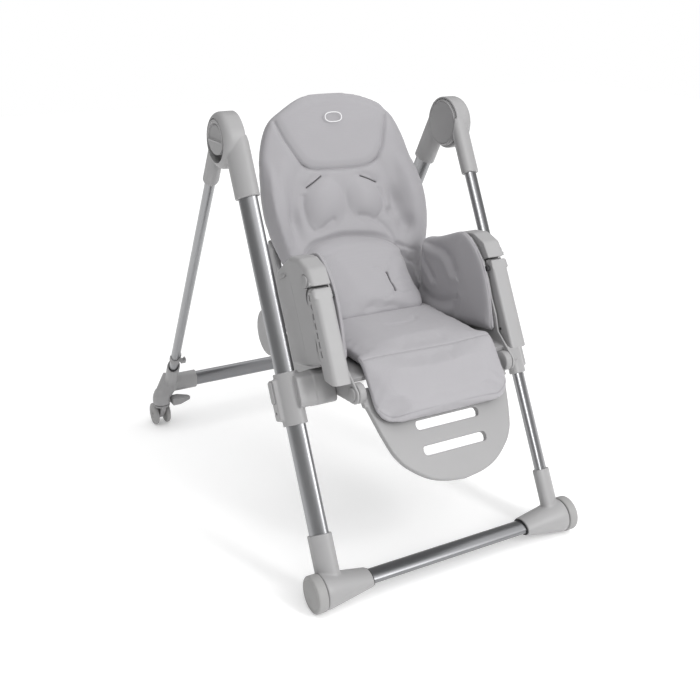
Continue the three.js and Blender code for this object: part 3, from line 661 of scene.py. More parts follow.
def fold_button():
    """A disc with its lower edge raised, an arch pressed in above and a ridge across the middle."""
    y0, z0 = FRONT_HINGE
    across, up = math.cos(FRONT_TILT), math.sin(FRONT_TILT)
    rings, spokes = 90, 160
    verts = []
    for k in range(rings + 1):
        for i in range(spokes):
            a = 2 * math.pi * i / spokes
            edges = [
                room * math.cos(a - b) + math.sqrt(BUTTON_RADIUS**2 - (room * math.sin(a - b)) ** 2)
                for room, b in ((BUTTON_LIFT, math.pi / 2), (BUTTON_TRAVEL, math.pi / 2 - FRONT_TILT))
            ]
            reach = min(BUTTON_RADIUS, *edges)
            r = reach * max(k, 0.02) / rings
            y, z = r * math.cos(a), r * math.sin(a)
            ridge = math.exp(-(((z - 1) / 1.8) ** 2)) * (abs(y) < ARCH_RADIUS + 1)
            from_arch = (math.hypot(y, z - 1) if z > 1 else 99) - ARCH_RADIUS
            arch = math.exp(-((from_arch / 1.5) ** 2))
            inside = 1 / (1 + math.exp(min(60, from_arch * 2)))
            ribs = inside * 0.35 * math.cos(2 * math.pi * y / 5)
            fall = max(0.0, r - reach + 2.2) / 2.2
            x = HINGE_OUTER + 0.4 + 2.0 * ridge - 2.6 * arch - 1.6 * inside + ribs - 1.6 * fall**2
            verts.append((x, y0 + y * across - z * up, z0 + y * up + z * across))
    verts += [(HINGE_OUTER - BUTTON_THICK, y, z) for _, y, z in verts[-spokes:]]
    return shade(raw("fold_button", [(verts, tube_faces(verts, spokes))], FRONT), 50)


def front_foot():
    edge = WHEEL_X[0] - 0.8
    big = [(x, *p) for x in (edge, edge - 10) for p in bend(0, 0, WHEEL_RADIUS - 1.5, 0, 354, 59)]
    small = [(168, *p) for p in leg_oval(SLEEVE, FRONT_TILT)]
    return moulded(
        "front_foot",
        [hull(big + small), tube_bar(SLEEVE, FRONT_TURN, FRONT_X, 0, 94)],
        FRONT,
        cuts=[block((edge, 300), (-80, 80), (-80, 120))],
        soften=9,
        crisp=[
            tube_bar(GAP, FRONT_TURN, FRONT_X, 40, 120),
            prism(leg_oval(GAP, FRONT_TILT), 140, 190),
        ],
    )


def front_wheel():
    low, high = WHEEL_X
    r = WHEEL_RADIUS
    profile = [(0.5, low), (r - 2.5, low), (r - 0.7, low + 0.7), (r, low + 2.2), (r, high - 3.6)]
    profile += bend(r - 3.6, high - 3.6, 3.6, 15, 75, 5)
    profile += [(r - 5.5, high), (r - 6.3, high - 0.5), (r - 7, high), (0.5, high + 0.2)]
    return shade(raw("front_wheel", [lathe(profile, 0, 0, 96)], FRONT), 50)


def screw(x, y, z, radius, matrix, facing=1):
    """A small pan-head screw seen from along X, with a cross recess."""
    dome = [(0.3, 0.45), (radius * 0.6, 0.4), (radius * 0.9, 0.2), (radius, 0), (0.3, 0)]
    head = lathe([(r, x + facing * radius * rise) for r, rise in dome], y, z, 32)
    half = radius * 0.55
    depth = sorted((x + facing * radius * 0.15, x + facing * radius))
    piece = raw("screw", [head], matrix)
    cross = [block(depth, (y - a, y + a), (z - b, z + b)) for a, b in ((half, 0.4), (0.4, half))]
    return shade(carve(piece, cross, matrix), 40)


front_top = FRONT_HINGE[1] - SOCKET
pair(straight_tube("front_tube", FRONT_TURN, FRONT_X, 40, front_top, FRONT), "front_leg_tube",
     "front_frame", TUBE_METAL, ["front_tube_{}"])
pair(hinge_housing(), "hinge_cover", "front_frame", SHELL, ["hinge_housing_{}"])
pair(fold_button(), "fold_push_button", "fold_button_{}", SHELL_DARK, ["fold_button_{}"])
pair(front_foot(), "front_foot_moulding", "front_frame", SHELL, ["front_foot_{}"])
seal = raw("bar_seal", [prism(leg_oval(3, FRONT_TILT), 166.4, 167.8)], FRONT)
carve(seal, [prism(leg_oval(0.2, FRONT_TILT), 150, 180)], FRONT)
pair(shade(seal, 40), "bar_seal", "front_frame", RUBBER)
pair(front_wheel(), "front_roller", "front_wheel_{}", WHEEL, ["front_wheel_{}"])
bar = raw("front_bar", [prism(oval(*TUBE, FRONT_TILT, 96), -190, 190)], FRONT)
dress(shade(bar, 30), "front_frame", BAR_METAL, ["front_crossbar"])

# ---- Rear frame ----

REAR_BAR_TURN = math.pi / 2 - REAR_TILT
CASTER_X = 271
CASTER_AXLE = JOINTS["caster_right_roll"]["pos_m"]
SWIVEL = JOINTS["caster_right_swivel"]["pos_m"]
SWIVEL_Y = SWIVEL[1] / MM
AXLE_Y, AXLE_Z = CASTER_AXLE[1] / MM, CASTER_AXLE[2] / MM
KNEE = middle("rear_crossbar") / MM
TO_REAR = REAR.inverted() @ CHAIR


def in_rear(shape):
    """A shape given in the chair's frame, in the rear leg's."""
    verts, faces = shape
    return [tuple(TO_REAR @ Vector(v)) for v in verts], faces


def rear_hub():
    y, z = REAR_HINGE
    end = z - SLEEVE_LENGTH
    return moulded(
        "rear_hub",
        [
            drum(47, HUB_INNER, HUB_OUTER, y, z, 96),
            tube_bar(SLEEVE + 0.8, REAR_TURN, REAR_X, end, z - 20),
        ],
        REAR,
        cuts=[
            drum(HINGE_RADIUS + 1.5, HUB_OUTER, 300, y, z, 96),
            drum(46, 200, HUB_INNER, y, z, 96),
        ],
        voxel=1.1,
        soften=3,
        crisp=[tube_bar(GAP, REAR_TURN, REAR_X, end - 5, z - SOCKET)],
    )


def hub_cap():
    y, z = REAR_HINGE
    profile = [(0.5, 225.0), (38, 225.1), (41.3, 225.4), (41.8, 226.2), (42.3, 226.2), (42.8, 225.5),
               (44.4, 225.8), (45.3, 227.6), (0.5, 227.6)]
    return shade(raw("hub_cap", [lathe(profile, y, z, 96)], REAR), 40)


def rear_foot():
    housing = lathe(
        [(0.5, 58), (19, 58), (20.5, 61), (21, 68), (19.5, 80), (15, 91), (7, 97), (0.5, 98)],
        SWIVEL_Y, 0, 64, "Z", CASTER_X,
    )
    web = hull(
        [(REAR_X - 12, *p) for p in bend(KNEE.y, KNEE.z, 16, 0, 340, 17)]
        + [(REAR_X + 13, *p) for p in bend(KNEE.y, KNEE.z + 14, 15, 0, 340, 17)]
        + [(CASTER_X - 8, *p) for p in bend(SWIVEL_Y, 78, 19, 0, 340, 17)]
        + [(CASTER_X + 12, *p) for p in bend(SWIVEL_Y, 76, 14, 0, 340, 17)]
    )
    return moulded(
        "rear_foot",
        [
            tube_bar(SLEEVE, REAR_TURN, REAR_X, -8, 66),
            prism(leg_oval(SLEEVE, REAR_BAR_TURN), 182, REAR_X),
            in_rear(housing),
            in_rear(web),
        ],
        REAR,
        cuts=[in_rear(block((190, 253), (SWIVEL_Y - 24, SWIVEL_Y + 8), (40, 73)))],
        soften=8,
        crisp=[
            tube_bar(GAP, REAR_TURN, REAR_X, 12, 100),
            prism(leg_oval(GAP, REAR_BAR_TURN), 150, 202),
        ],
    )


def tray_hook():
    low, high = 91, 105
    return moulded(
        "tray_hook",
        [
            tube_bar(2.4, REAR_TURN, REAR_X, low, high),
            block((226, 238), (-20, -9), (low + 3, low + 11)),
            block((226, 230), (-20, -9), (low + 3, high + 1)),
        ],
        REAR,
        cuts=[block((REAR_X - 2, 300), (2, 80), (low - 5, high + 5))],
        voxel=0.8,
        soften=3,
        crisp=[tube_bar(GAP, REAR_TURN, REAR_X, low - 5, high + 5)],
    )


def caster_fork():
    dome = lathe([(0.5, 51.5), (18, 51.5), (19, 52.5), (18, 56), (14, 57.5), (5, 57.7), (5, 62), (0.5, 62)],
                 SWIVEL_Y, 0, 64, "Z", CASTER_X)
    web = prism(
        rounded([(SWIVEL_Y - 15, 53, 2), (SWIVEL_Y + 15, 53, 2), (AXLE_Y + 9, 32, 3),
                 (AXLE_Y + 8, 17, 6), (AXLE_Y - 9, 17, 6), (SWIVEL_Y - 12, 44, 4)]),
        CASTER_X - 6, CASTER_X + 6,
    )
    return moulded("caster_fork", [dome, web], CHAIR, voxel=0.8, soften=4)


def caster_wheel(x):
    """A tyre with a rounded tread on a dished hub."""
    r, half = 26, 5
    profile = [(0.5, x - half + 1), (9, x - half + 1), (10, x - half), (17, x - half), (18, x - half + 1),
               (r - 3, x - half + 0.3)]
    profile += [(r - 3 + 3 * math.cos(math.radians(a)), x + 4.7 * math.sin(math.radians(a)))
                for a in range(-75, 76, 15)]
    profile += [(r - 3, x + half - 0.3), (18, x + half - 1), (17, x + half), (10, x + half),
                (9, x + half - 1), (0.5, x + half - 1)]
    return shade(raw("caster_wheel", [lathe(profile, AXLE_Y, AXLE_Z, 72)], CHAIR), 45)


def brake_pedal():
    y0, y1 = SWIVEL_Y - 19, SWIVEL_Y + 3
    corners = []
    tip, root = (60, 66), (54.5, 71)
    for x, narrow, heights in ((204, 7, tip), (208, 2, tip), (232, -3, root), (250, -3, root)):
        corners += [(x, y, z) for y in (y0 + narrow, y1 - narrow) for z in heights]
    return moulded("brake_pedal", [hull(corners)], CHAIR, voxel=0.8, soften=9)


def tube_seal():
    ring = raw("tube_seal", [tube_bar(1.8, REAR_TURN, REAR_X, 66.2, 70)], REAR)
    return shade(carve(ring, [tube_bar(0.2, REAR_TURN, REAR_X, 60, 80)], REAR), 40)


rear_top = REAR_HINGE[1] - SOCKET
pair(straight_tube("rear_tube", REAR_TURN, REAR_X, 12, rear_top, REAR), "rear_leg_tube",
     "rear_frame", TUBE_METAL, ["rear_tube_{}"])
bar = raw("rear_bar", [prism(oval(*TUBE, REAR_BAR_TURN, 96), -202, 202)], REAR)
dress(shade(bar, 30), "rear_frame", BAR_METAL, ["rear_crossbar"])
pair(rear_hub(), "rear_hub_moulding", "rear_frame", SHELL, ["rear_hub_{}"])
pair(hub_cap(), "hub_disc", "rear_frame", SHELL_DARK, ["hub_cap_{}"])
pair(rear_foot(), "rear_foot_moulding", "rear_frame", SHELL, ["rear_foot_{}"])
pair(tube_seal(), "tube_seal", "rear_frame", RUBBER)
pair(tray_hook(), "tray_clip", "rear_frame", SHELL_DARK, ["tray_hook_{}"])
pair(caster_fork(), "caster_yoke", "caster_{}", SHELL_DARK, ["caster_fork_{}"])
for which, sign in (("outer", 1), ("inner", -1)):
    pair(caster_wheel(CASTER_X + sign * 14), f"caster_tyre_{which}", "caster_wheels_{}", WHEEL,
         [f"caster_wheel_{which}_{{}}"])
pair(brake_pedal(), "brake_lever", "brake_pedal_{}", SHELL_DARK, ["brake_pedal_{}"])
hub_y, hub_z = REAR_HINGE
pair(screw(229.5, 4, hub_z - 84, 3.8, REAR, -1), "hub_screw", "rear_frame", STEEL)

# ---- Seat: carriers, side panels and shell ----

CARRIER_RISE = (283, 375)
HEIGHT_BUTTON = ((5, 19), (325, 364))
ARMREST_PIVOT = (-88, 486)
ARMREST_RADIUS = 17.5
PANEL_INNER, PANEL_OUTER = 165.8, 205
PANEL_BUTTON = (-77, 517)
PANEL_OUTLINE = rounded(
    [(47, 387, 12), (47, 556, 34), (-34, 571, 14), (-68, 559, 16), (-92, 535, 12), (-97, 503.8, 2),
     (-71.4, 503.8, 1), (-71.4, 372, 8), (-20, 375, 10)]
)
WALL_X = (161.5, 165.5)
RECLINE_Y, RECLINE_Z = RECLINE[1] / MM, RECLINE[2] / MM
LEGREST_Y, LEGREST_Z = LEGREST_PIVOT[1] / MM, LEGREST_PIVOT[2] / MM


def from_leg(points):
    """(y, z) in the chair's frame of points in the front leg's."""
    found = [FRONT @ Vector((0, y, z)) / MM for y, z in points]
    return [(p.y, p.z) for p in found]


def carrier():
    low, high = CARRIER_RISE
    arm = rounded([(15, 308, 6), (-30, 308, 12), (-30, 362, 6), (-12, 372, 6), (15, 372, 5)])
    foot = [(244, *p) for p in rectangle((-6, 25), (low + 4, high - 6), 6, 3)]
    face = [(268, *p) for p in rectangle((1, 22), (low + 12, high - 9), 4, 3)]
    return moulded(
        "carrier",
        [
            tube_bar(SLEEVE, FRONT_TURN, FRONT_X, low, high),
            soft_prism(offset(arm, 1.2), 203, 236, 1, 1),
            soft_prism(arm, PANEL_INNER, 204, 2, 1.2),
            hull(foot + face),
        ],
        FRONT,
        soften=3,
        crisp=[
            tube_bar(GAP, FRONT_TURN, FRONT_X, low - 5, high + 5),
            prism(rectangle(*([low - GAP, high + GAP] for low, high in HEIGHT_BUTTON), 4), 262, 280),
            drum(3, 262, 280, 12, low + 25, 24),
        ],
    )


def height_button():
    button = soft_prism(rectangle(*HEIGHT_BUTTON, 4), 265.2, 271, 0, 1.6)
    return shade(raw("height_button", [button], FRONT), 50)


def side_panel():
    bar = soft_prism(rectangle((-7, 20), (540, 547), 3.4), PANEL_OUTER - 4, PANEL_OUTER + 2.4, 0, 1.2)
    groove = rectangle((-24, -21), (402, 524), 1.4)
    panel = moulded(
        "side_panel",
        [soft_prism(PANEL_OUTLINE, PANEL_INNER, PANEL_OUTER, 2, 9, steps=8)],
        FRONT,
        cuts=[prism(groove, PANEL_OUTER - 0.7, 220)],
        voxel=1.0,
        soften=4,
        crisp=[
            drum(ARMREST_RADIUS + 0.8, 150, 220, *ARMREST_PIVOT),
            prism(bend(*ARMREST_PIVOT, 20, 63, 117, 16), 150, 220),
            drum(12.5, PANEL_OUTER - 9.3, 220, *PANEL_BUTTON),
        ],
    )
    return shade(join(panel, raw("bar", [bar], FRONT)), 40)


def disc_button(name, low, high, radius, y, z, matrix):
    """A round button with a bevelled edge and a faint raised centre."""
    profile = [(0.4, low), (radius, low), (radius, high - 1.6), (radius - 0.5, high - 0.7),
               (radius - 1.5, high - 0.2), (radius * 0.62, high - 0.2), (radius * 0.58, high), (0.4, high)]
    return shade(raw(name, [lathe(profile, y, z, 64)], matrix), 50)


def seat_shell():
    y, z = RECLINE_Y, RECLINE_Z
    floor_outline = (
        [(-318, 366), (-318, 373.6), (-112, 373.6), (-72, 362), (-40, 336)]
        + bend(y, z, 42.5, 195, 310, 16)
        + bend(y, z, 47, 310, 200, 16)
        + [(-46, 330), (-78, 354), (-114, 368)]
    )
    leg_side = [(-78, 368), (-83, 400), (-82, 430), (-85, 465), (-84, 500), (-75, 530), (-64, 552),
                (-46, 566), (-14, 571), (28, 573), (64, 542), (104, 481), (122, 436)]
    side = bend(LEGREST_Y, LEGREST_Z, 18, 270, 150, 12) + from_leg(leg_side) + bend(y, z, 47, 110, -90, 24)
    shapes = [prism(floor_outline, -164, 164)]
    bores = []
    for sign in (1, -1):
        shapes.append(prism(side, *sorted((sign * WALL_X[0], sign * WALL_X[1]))))
        bores.append(drum(12.3, *sorted((sign * 155, sign * 170)), LEGREST_Y, LEGREST_Z))
    piece = moulded("seat_bucket", shapes, CHAIR, voxel=1.5, soften=2, crisp=bores)
    return dress(piece, "seat", SHELL, ["seat_shell"])


pair(carrier(), "carrier_moulding", "seat", SHELL, ["carrier_{}"])
pair(height_button(), "height_push_button", "height_button_{}", SHELL_DARK,
     ["height_button_{}"])
pair(side_panel(), "side_moulding", "seat", SHELL, ["side_panel_{}"])
pair(disc_button("armrest_button", 199, 207.5, 11.5, *PANEL_BUTTON, FRONT), "armrest_push_button",
     "armrest_button_{}", SHELL_DARK, ["armrest_button_{}"])
seat_shell()

# ---- Armrests ----

DASHES = 7


def armrest():
    """Its outer rear edge is nearly sharp, so the row of short slots lies on a flat face."""
    y, z = ARMREST_PIVOT
    inner, outer = 168, PANEL_OUTER
    front, rear = y - ARMREST_RADIUS + 6, y + ARMREST_RADIUS - 1
    section = rounded([(inner, front, 6), (outer, front, 13), (outer, rear, 1.5), (inner, rear, 1.5)])
    bar = raw("armrest", [prism(section, 322, z, "Z")], FRONT)
    slant = [(rear + 5, 350), (front - 5, 328), (front - 5, 300), (rear + 5, 300)]
    carve(bar, [prism(slant, inner - 5, outer + 5)], FRONT)
    top = bend(y, z, ARMREST_RADIUS, 0, 80, 12)
    top += rounded([(front, z + ARMREST_RADIUS, 5), (front, z - 5, 0), (rear, z - 5, 0)], 6)
    join(bar, raw("knuckle", [soft_prism(top, inner, outer, 3, 6)], FRONT))
    remesh(bar, 1.0)
    relax(bar, 4)
    dashes = [384 + 16.2 * i for i in range(DASHES)]
    carve(bar, [
        block((inner + 8, outer - 3), (front + 3.5, rear + 5), (352, z - ARMREST_RADIUS - 2)),
        *[block((outer - 5, outer + 5), (-85, -81), (z, z + 11)) for z in dashes],
    ], FRONT)
    return shade(bar, 40)


pair(armrest(), "armrest_moulding", "armrest_{}", SHELL, ["armrest_{}"])
# Black discs on the inner face of each armrest paint the shade inside two small holes.
hole_shade_discs = raw("armrest_plugs", [drum(2.6, 167.2, 172, -80, z, 32) for z in (470, 372)], FRONT)
pair(shade(hole_shade_discs, 40), "armrest_plugs", "armrest_{}", RUBBER)

# ---- Back shell and its handle ----

BACK_HALF = [(118, -90), (130, -60), (147, -22), (160, 10), (172, 50), (179, 90), (180, 120), (178, 150),
             (174, 185), (169, 215), (161, 243), (150, 268), (135, 289), (115, 304), (85, 317), (45, 326),
             (0, 328)]
BACK_OUTLINE = smooth_path(BACK_HALF + [(-x, w) for x, w in reversed(BACK_HALF[:-1])], 4)
BACK_DEPTH = 44
BACK_LEDGE = 28.3
RIM = 8
RIM_FRONT = 7
HANDLE_HALF = 42
HANDLE_W = (128, 158)


def back_shell():
    y, z = local(BACK, RECLINE)
    pan = raw("back_shell", [soft_prism(BACK_OUTLINE, RIM_FRONT, BACK_DEPTH, 1.4, 18, "Y", 8)], BACK)
    carve(pan, [
        prism(offset(BACK_OUTLINE, RIM), -5, BACK_LEDGE, "Y"),
        prism(offset(BACK_OUTLINE, 18), -5, BACK_DEPTH - 3.5, "Y"),
        block((-200, 200), (-5, BACK_LEDGE), (-120, -20)),
    ], BACK, "EXACT")
    shapes = []
    for sign in (1, -1):
        x = sorted((sign * 144, sign * 158))
        arm = rounded([(BACK_LEDGE, 40, 4), (BACK_DEPTH, 60, 4), (y + 28, z + 30, 8), (y + 20, z - 20, 8),
                       (y - 20, z - 35, 8), (y - 38, z - 10, 8), (BACK_LEDGE, -70, 4)])
        shapes += [soft_prism(arm, *x, 2.5, 2.5), soft_prism(bend(y, z, 41, 0, 354, 59), *x, 2.5, 2.5)]
    low, high = HANDLE_W
    room = rectangle((-48, 48), (low - 6, high + 14), 8)
    shapes.append(soft_prism(room, BACK_DEPTH - 6, BACK_DEPTH + 9, 0, 3, "Y"))
    for w in range(-60, 67, 42):
        rib = rectangle((-70, 70), (w, w + 7), 3.4)
        shapes.append(soft_prism(rib, BACK_DEPTH - 3, BACK_DEPTH + 1.2, 0, 1, "Y"))
    join(pan, raw("arms", shapes, BACK))
    remesh(pan, 1.5)
    relax(pan, 3)
    half = HANDLE_HALF + GAP
    carve(pan, [block((-half, half), (BACK_DEPTH - 0.3, BACK_DEPTH + 15), (low - GAP, high + 8))], BACK)
    return dress(shade(pan, 40), "back", SHELL, ["back_shell"])


def recline_handle():
    plate = rectangle((-HANDLE_HALF, HANDLE_HALF), HANDLE_W, 6)
    rows = [HANDLE_W[0] + 5 + 5 * k for k in range(4)]
    grip = [block((-30, 30), (BACK_DEPTH + 5, BACK_DEPTH + 12), (w, w + 2)) for w in rows]
    piece = moulded(
        "recline_grip",
        [soft_prism(plate, BACK_DEPTH, BACK_DEPTH + 8, 0.5, 3, "Y")],
        BACK, cuts=grip, voxel=0.8, soften=2,
    )
    return dress(piece, "recline_lever", SHELL_DARK, ["recline_handle"])


back_shell()
recline_handle()

# ---- Legrest plate ----

PLATE_HALF = [(0, -184), (40, -178.5), (73, -166), (104, -142), (119, -122), (126, -106), (135, -75),
              (148, -22), (148, -2)]
PLATE_THICK = 11
SLOT_Z = (-77, -122)


def legrest_plate():
    half = smooth_path(PLATE_HALF[:-2], 5) + [(144, -36), PLATE_HALF[-2], PLATE_HALF[-1]]
    outline = half + [(-x, z) for x, z in reversed(half[1:])]
    plate = raw("legrest_plate", [soft_prism(outline, 0, PLATE_THICK, 3, 2, "Y")], LEGREST)
    carve(plate, [prism(offset(outline, 5), 3.5, 20, "Y")], LEGREST, "EXACT")
    shapes = []
    slots = []
    for sign in (1, -1):
        x = sorted((sign * 147, sign * 161))
        boss = [(0.5, x[0]), (16.5, x[0]), (18, x[0] + 1.5), (18, x[1] - 1.5), (16.5, x[1]), (0.5, x[1])]
        shapes += [lathe(boss), block(sorted((sign * 132, sign * 150)), (0, PLATE_THICK), (-26, 6))]
    for z in SLOT_Z:
        ring = rectangle((-68, 68), (z - 11.5, z + 11.5), 11, 10)
        shapes.append(prism(ring, 1, PLATE_THICK, "Y"))
        slots.append(prism(offset(ring, 3), -5, PLATE_THICK + 5, "Y"))
    join(plate, raw("bosses", shapes, LEGREST))
    remesh(plate, 1.2)
    carve(plate, slots, LEGREST)
    remesh(plate, 1.1)
    relax(plate, 4)
    return dress(shade(plate, 40), "legrest", SHELL_DARK, ["legrest_plate"])


legrest_plate()
pair(disc_button("legrest_button", 164.8, 169, 12, 0, 0, LEGREST), "legrest_push_button", "legrest_button_{}",
     SHELL_DARK, ["legrest_button_{}"])

# ---- Soft pieces ----


def points_of(mesh, matrix):
    """Every point of a mesh, in a frame's millimetres."""
    numbers = np.empty(3 * len(mesh.vertices))
    mesh.vertices.foreach_get("co", numbers)
    inverse = matrix.inverted()
    return numbers.reshape(-1, 3) @ np.array(inverse.to_3x3()).T + np.array(inverse.translation)


def normals_of(mesh, matrix):
    numbers = np.empty(3 * len(mesh.vertices))
    mesh.vertex_normals.foreach_get("vector", numbers)
    return numbers.reshape(-1, 3) @ np.array(matrix.inverted().to_3x3()).T * MM


def put_back(piece, matrix, points):
    turn = np.array(matrix.to_3x3())
    piece.data.vertices.foreach_set("co", (points @ turn.T + np.array(matrix.translation)).ravel())
    piece.data.update()


def inflate(piece, matrix, cap, held, soften=2):
    """Swells a pad as a cloth bag under pressure, by up to cap mm. held(points) is 1 where it is held."""
    points = points_of(piece.data, matrix)
    group = piece.vertex_groups.new(name="held")
    for i, weight in enumerate(held(points)):
        group.add([i], float(weight), "REPLACE")
    cloth = piece.modifiers.new("inflate", "CLOTH")
    settings = cloth.settings
    settings.quality = 5
    settings.mass = 0.25
    settings.tension_stiffness = settings.compression_stiffness = 12
    settings.shear_stiffness = 6
    settings.bending_stiffness = 0.6
    settings.use_pressure = True
    settings.uniform_pressure_force = 4
    settings.vertex_group_mass = "held"
    settings.effector_weights.gravity = 0
    for step in range(1, 21):
        SCENE.frame_set(step)
    swollen = piece.evaluated_get(bpy.context.evaluated_depsgraph_get())
    move = points_of(swollen.data, matrix) - points
    piece.modifiers.clear()
    SCENE.frame_set(1)
    reach = np.linalg.norm(move, axis=1, keepdims=True)
    move *= np.minimum(1, cap / np.maximum(reach, 1e-6))
    put_back(piece, matrix, points + move)
    return relax(piece, soften)


def subdivide(piece):
    step = piece.modifiers.new("finer", "SUBSURF")
    step.levels = 1
    return settle(piece)


def refine(piece, matrix, near):
    """Splits each face in four where near(points) is true, so narrow seams and slits stay sharp."""
    wanted = near(points_of(piece.data, matrix))
    work = bmesh.new()
    work.from_mesh(piece.data)
    work.verts.ensure_lookup_table()
    faces = [f for f in work.faces if any(wanted[v.index] for v in f.verts)]
    edges = list({e for f in faces for e in f.edges})
    bmesh.ops.subdivide_edges(work, edges=edges, cuts=1, use_grid_fill=True)
    work.to_mesh(piece.data)
    work.free()
    return piece


def to_path(a, b, path):
    """Distance from each point (a, b) to a line of points, and +1 on its left or -1 on its right."""
    best = np.full(len(a), 1e9)
    side = np.ones(len(a))
    for (a0, b0), (a1, b1) in zip(path, path[1:]):
        da, db = a1 - a0, b1 - b0
        t = np.clip(((a - a0) * da + (b - b0) * db) / (da * da + db * db), 0, 1)
        distance = np.hypot(a - a0 - t * da, b - b0 - t * db)
        closer = distance < best
        best[closer] = distance[closer]
        side[closer] = np.sign(da * (b - b0) - db * (a - a0))[closer]
    return best, side


def away(a, b, path):
    return to_path(a, b, path)[0]


def hump(distance, width):
    return np.exp(-((distance / width) ** 2))


def grooves(a, b, paths, *cuts):
    """The depth of soft grooves along lines; each cut is (depth, width)."""
    distances = [away(a, b, path) for path in paths]
    return sum(depth * hump(d, width) for d in distances for depth, width in cuts)


def ramp(value, low, high):
    t = np.clip((value - low) / (high - low), 0, 1)
    return t * t * (3 - 2 * t)


def ripples(points, size, seed):
    """Smooth noise in -1...1 at each point; size is the width of a wrinkle in mm."""
    shift = Vector((seed * 7.3, seed * 3.1, seed * 5.7))
    return np.array([noise.noise(Vector(p) / size + shift) for p in points])


def sculpt(piece, matrix, relief):
    """Moves a pad's points along their normals by relief(points, normals): (height in mm, painted shade 0...1)."""
    points, normals = points_of(piece.data, matrix), normals_of(piece.data, matrix)
    height, painted_shade = relief(points, normals)
    put_back(piece, matrix, points + normals * height[:, None])
    # The painted shade is kept as the shadow attribute, which darkens the cloth's colour.
    shadow = piece.data.attributes.new("shadow", "FLOAT", "POINT")
    shadow.data.foreach_set("value", painted_shade.astype(np.float32))
    return shade(piece, 180)


def dress_pad(piece, body, *nodes):
    dress(piece, body, COVER, nodes)
    return piece


# ---- Back pad, in the back's frame: x across, z up, -y out of the front ----

HEAD_SEAM = smooth_path([(-150, 336), (-124, 287), (-112, 252), (-101, 226), (-88, 203), (-75, 188),
                         (-56, 179), (-17, 176), (26, 175), (60, 178), (83, 188), (96, 203), (104, 216),
                         (112, 240), (124, 269), (150, 322)])
UPPER_SLITS = smooth_paths([(-79, 145), (-62, 154), (-45, 164)], [(42, 157), (58, 150), (76, 142)])
LOBES = [(-46, 112, 46, 54), (43, 112, 40, 50)]
LOBE_FOLDS = smooth_paths(
    [(-89, 128), (-93, 105), (-90, 80), (-80, 60), (-64, 62), (-48, 71), (-36, 76)],
    [(24, 79), (40, 76), (54, 70), (68, 60), (82, 45), (92, 26)],
    [(82, 124), (86, 104), (80, 84), (66, 70)],
)
SIDE_VALLEYS = smooth_paths(
    [(-80, 186), (-98, 160), (-110, 125), (-117, 85), (-116, 45), (-110, 14), (-112, -20)],
    [(86, 188), (97, 162), (104, 130), (110, 98), (118, 60), (122, 25), (126, -10)],
)
SOFT_DENTS = [(110, 104, 11, 24), (129, 48, 17, 20), (-116, 80, 12, 28), (97, 80, 10, 9)]
LUMBAR_ARCH = smooth_path([(-116, -62), (-118, -30), (-110, 10), (-88, 31), (-58, 39), (-20, 43), (23, 39),
                           (55, 33), (78, 25), (99, 10), (108, -8), (114, -36), (118, -66)])
LOWER_SLIT = smooth_path([(41, -43), (40, -60), (43, -80)])
SLITS = [LOWER_SLIT, *UPPER_SLITS]
SLIT_RAYS = smooth_paths(
    [(41, -42), (50, -30), (66, -20)],
    [(40, -44), (30, -34), (12, -30)],
    [(43, -80), (58, -88), (74, -88)],
    [(42, -80), (28, -90), (12, -92)],
    [(44, -62), (62, -60), (82, -66)],
)
CORNER_FOLDS = smooth_paths(
    [(100, 14), (118, 2), (140, -6)],
    [(106, -8), (120, -24), (138, -32)],
    [(-104, -2), (-120, -18), (-138, -26)],
)
PAD_SIDES = [p for p in offset(BACK_OUTLINE, RIM + 0.8) if p[1] > -30]
HOOD = (130, 195)


def swell_ring(x):
    """The cushion that swells out over the seat, cut across at x."""
    profile = smooth_path([(2, 40), (-5, 22), (-14, -2), (-30, -34), (-48, -66), (-63, -94), (-71, -110)], 4)
    under = [(-72, -117), (-66, -119), (-2, -95.5), (24, -86), (24, 36)]
    inward = max(0.0, 1 - (abs(x) / 123) ** 7)
    return [(x, 6 + (y - 6) * inward if y < 6 else y, w) for y, w in profile + under]


BOLSTER_HALF = [(-92, 154), (-34, 162), (20, 174), (60, 180), (100, 183), (120, 183), (150, 180),
                (185, 174), (215, 169)]
SHELL_HALF = [(w, x) for x, w in BACK_HALF]


def bolster(side, spread):
    """One of the two fat sides of the cushion. The right one also spreads out over the shell's rim."""
    rings = []
    for w in np.linspace(-92 if spread else -34, 205, 46):
        half = np.interp(w, *zip(*(BOLSTER_HALF if spread else SHELL_HALF)))
        fat = math.sin(math.pi * max(0, w + 40) / 252) ** 0.8
        out = 176 if spread else 162
        widest = out + 6 * fat * spread
        crown = [(out - 6, 5), (widest, 5 - 5 * fat), (widest, 3 - 9 * fat),
                 (out - 5 + 3 * fat, 2 - 15 * fat), (160, 1 - 20 * fat), (144, 1 - 18 * fat),
                 (128, 2 - 9 * fat), (116, 4), (116, 16), (out - 8, 16)]
        rings.append([(side * (x - 178.5 + half), y, w) for x, y in smooth_path(crown, 3, closed=True)])
    return loft(rings)


def loft(rings):
    verts = [p for ring in rings for p in ring]
    return verts, tube_faces(verts, len(rings[0]))


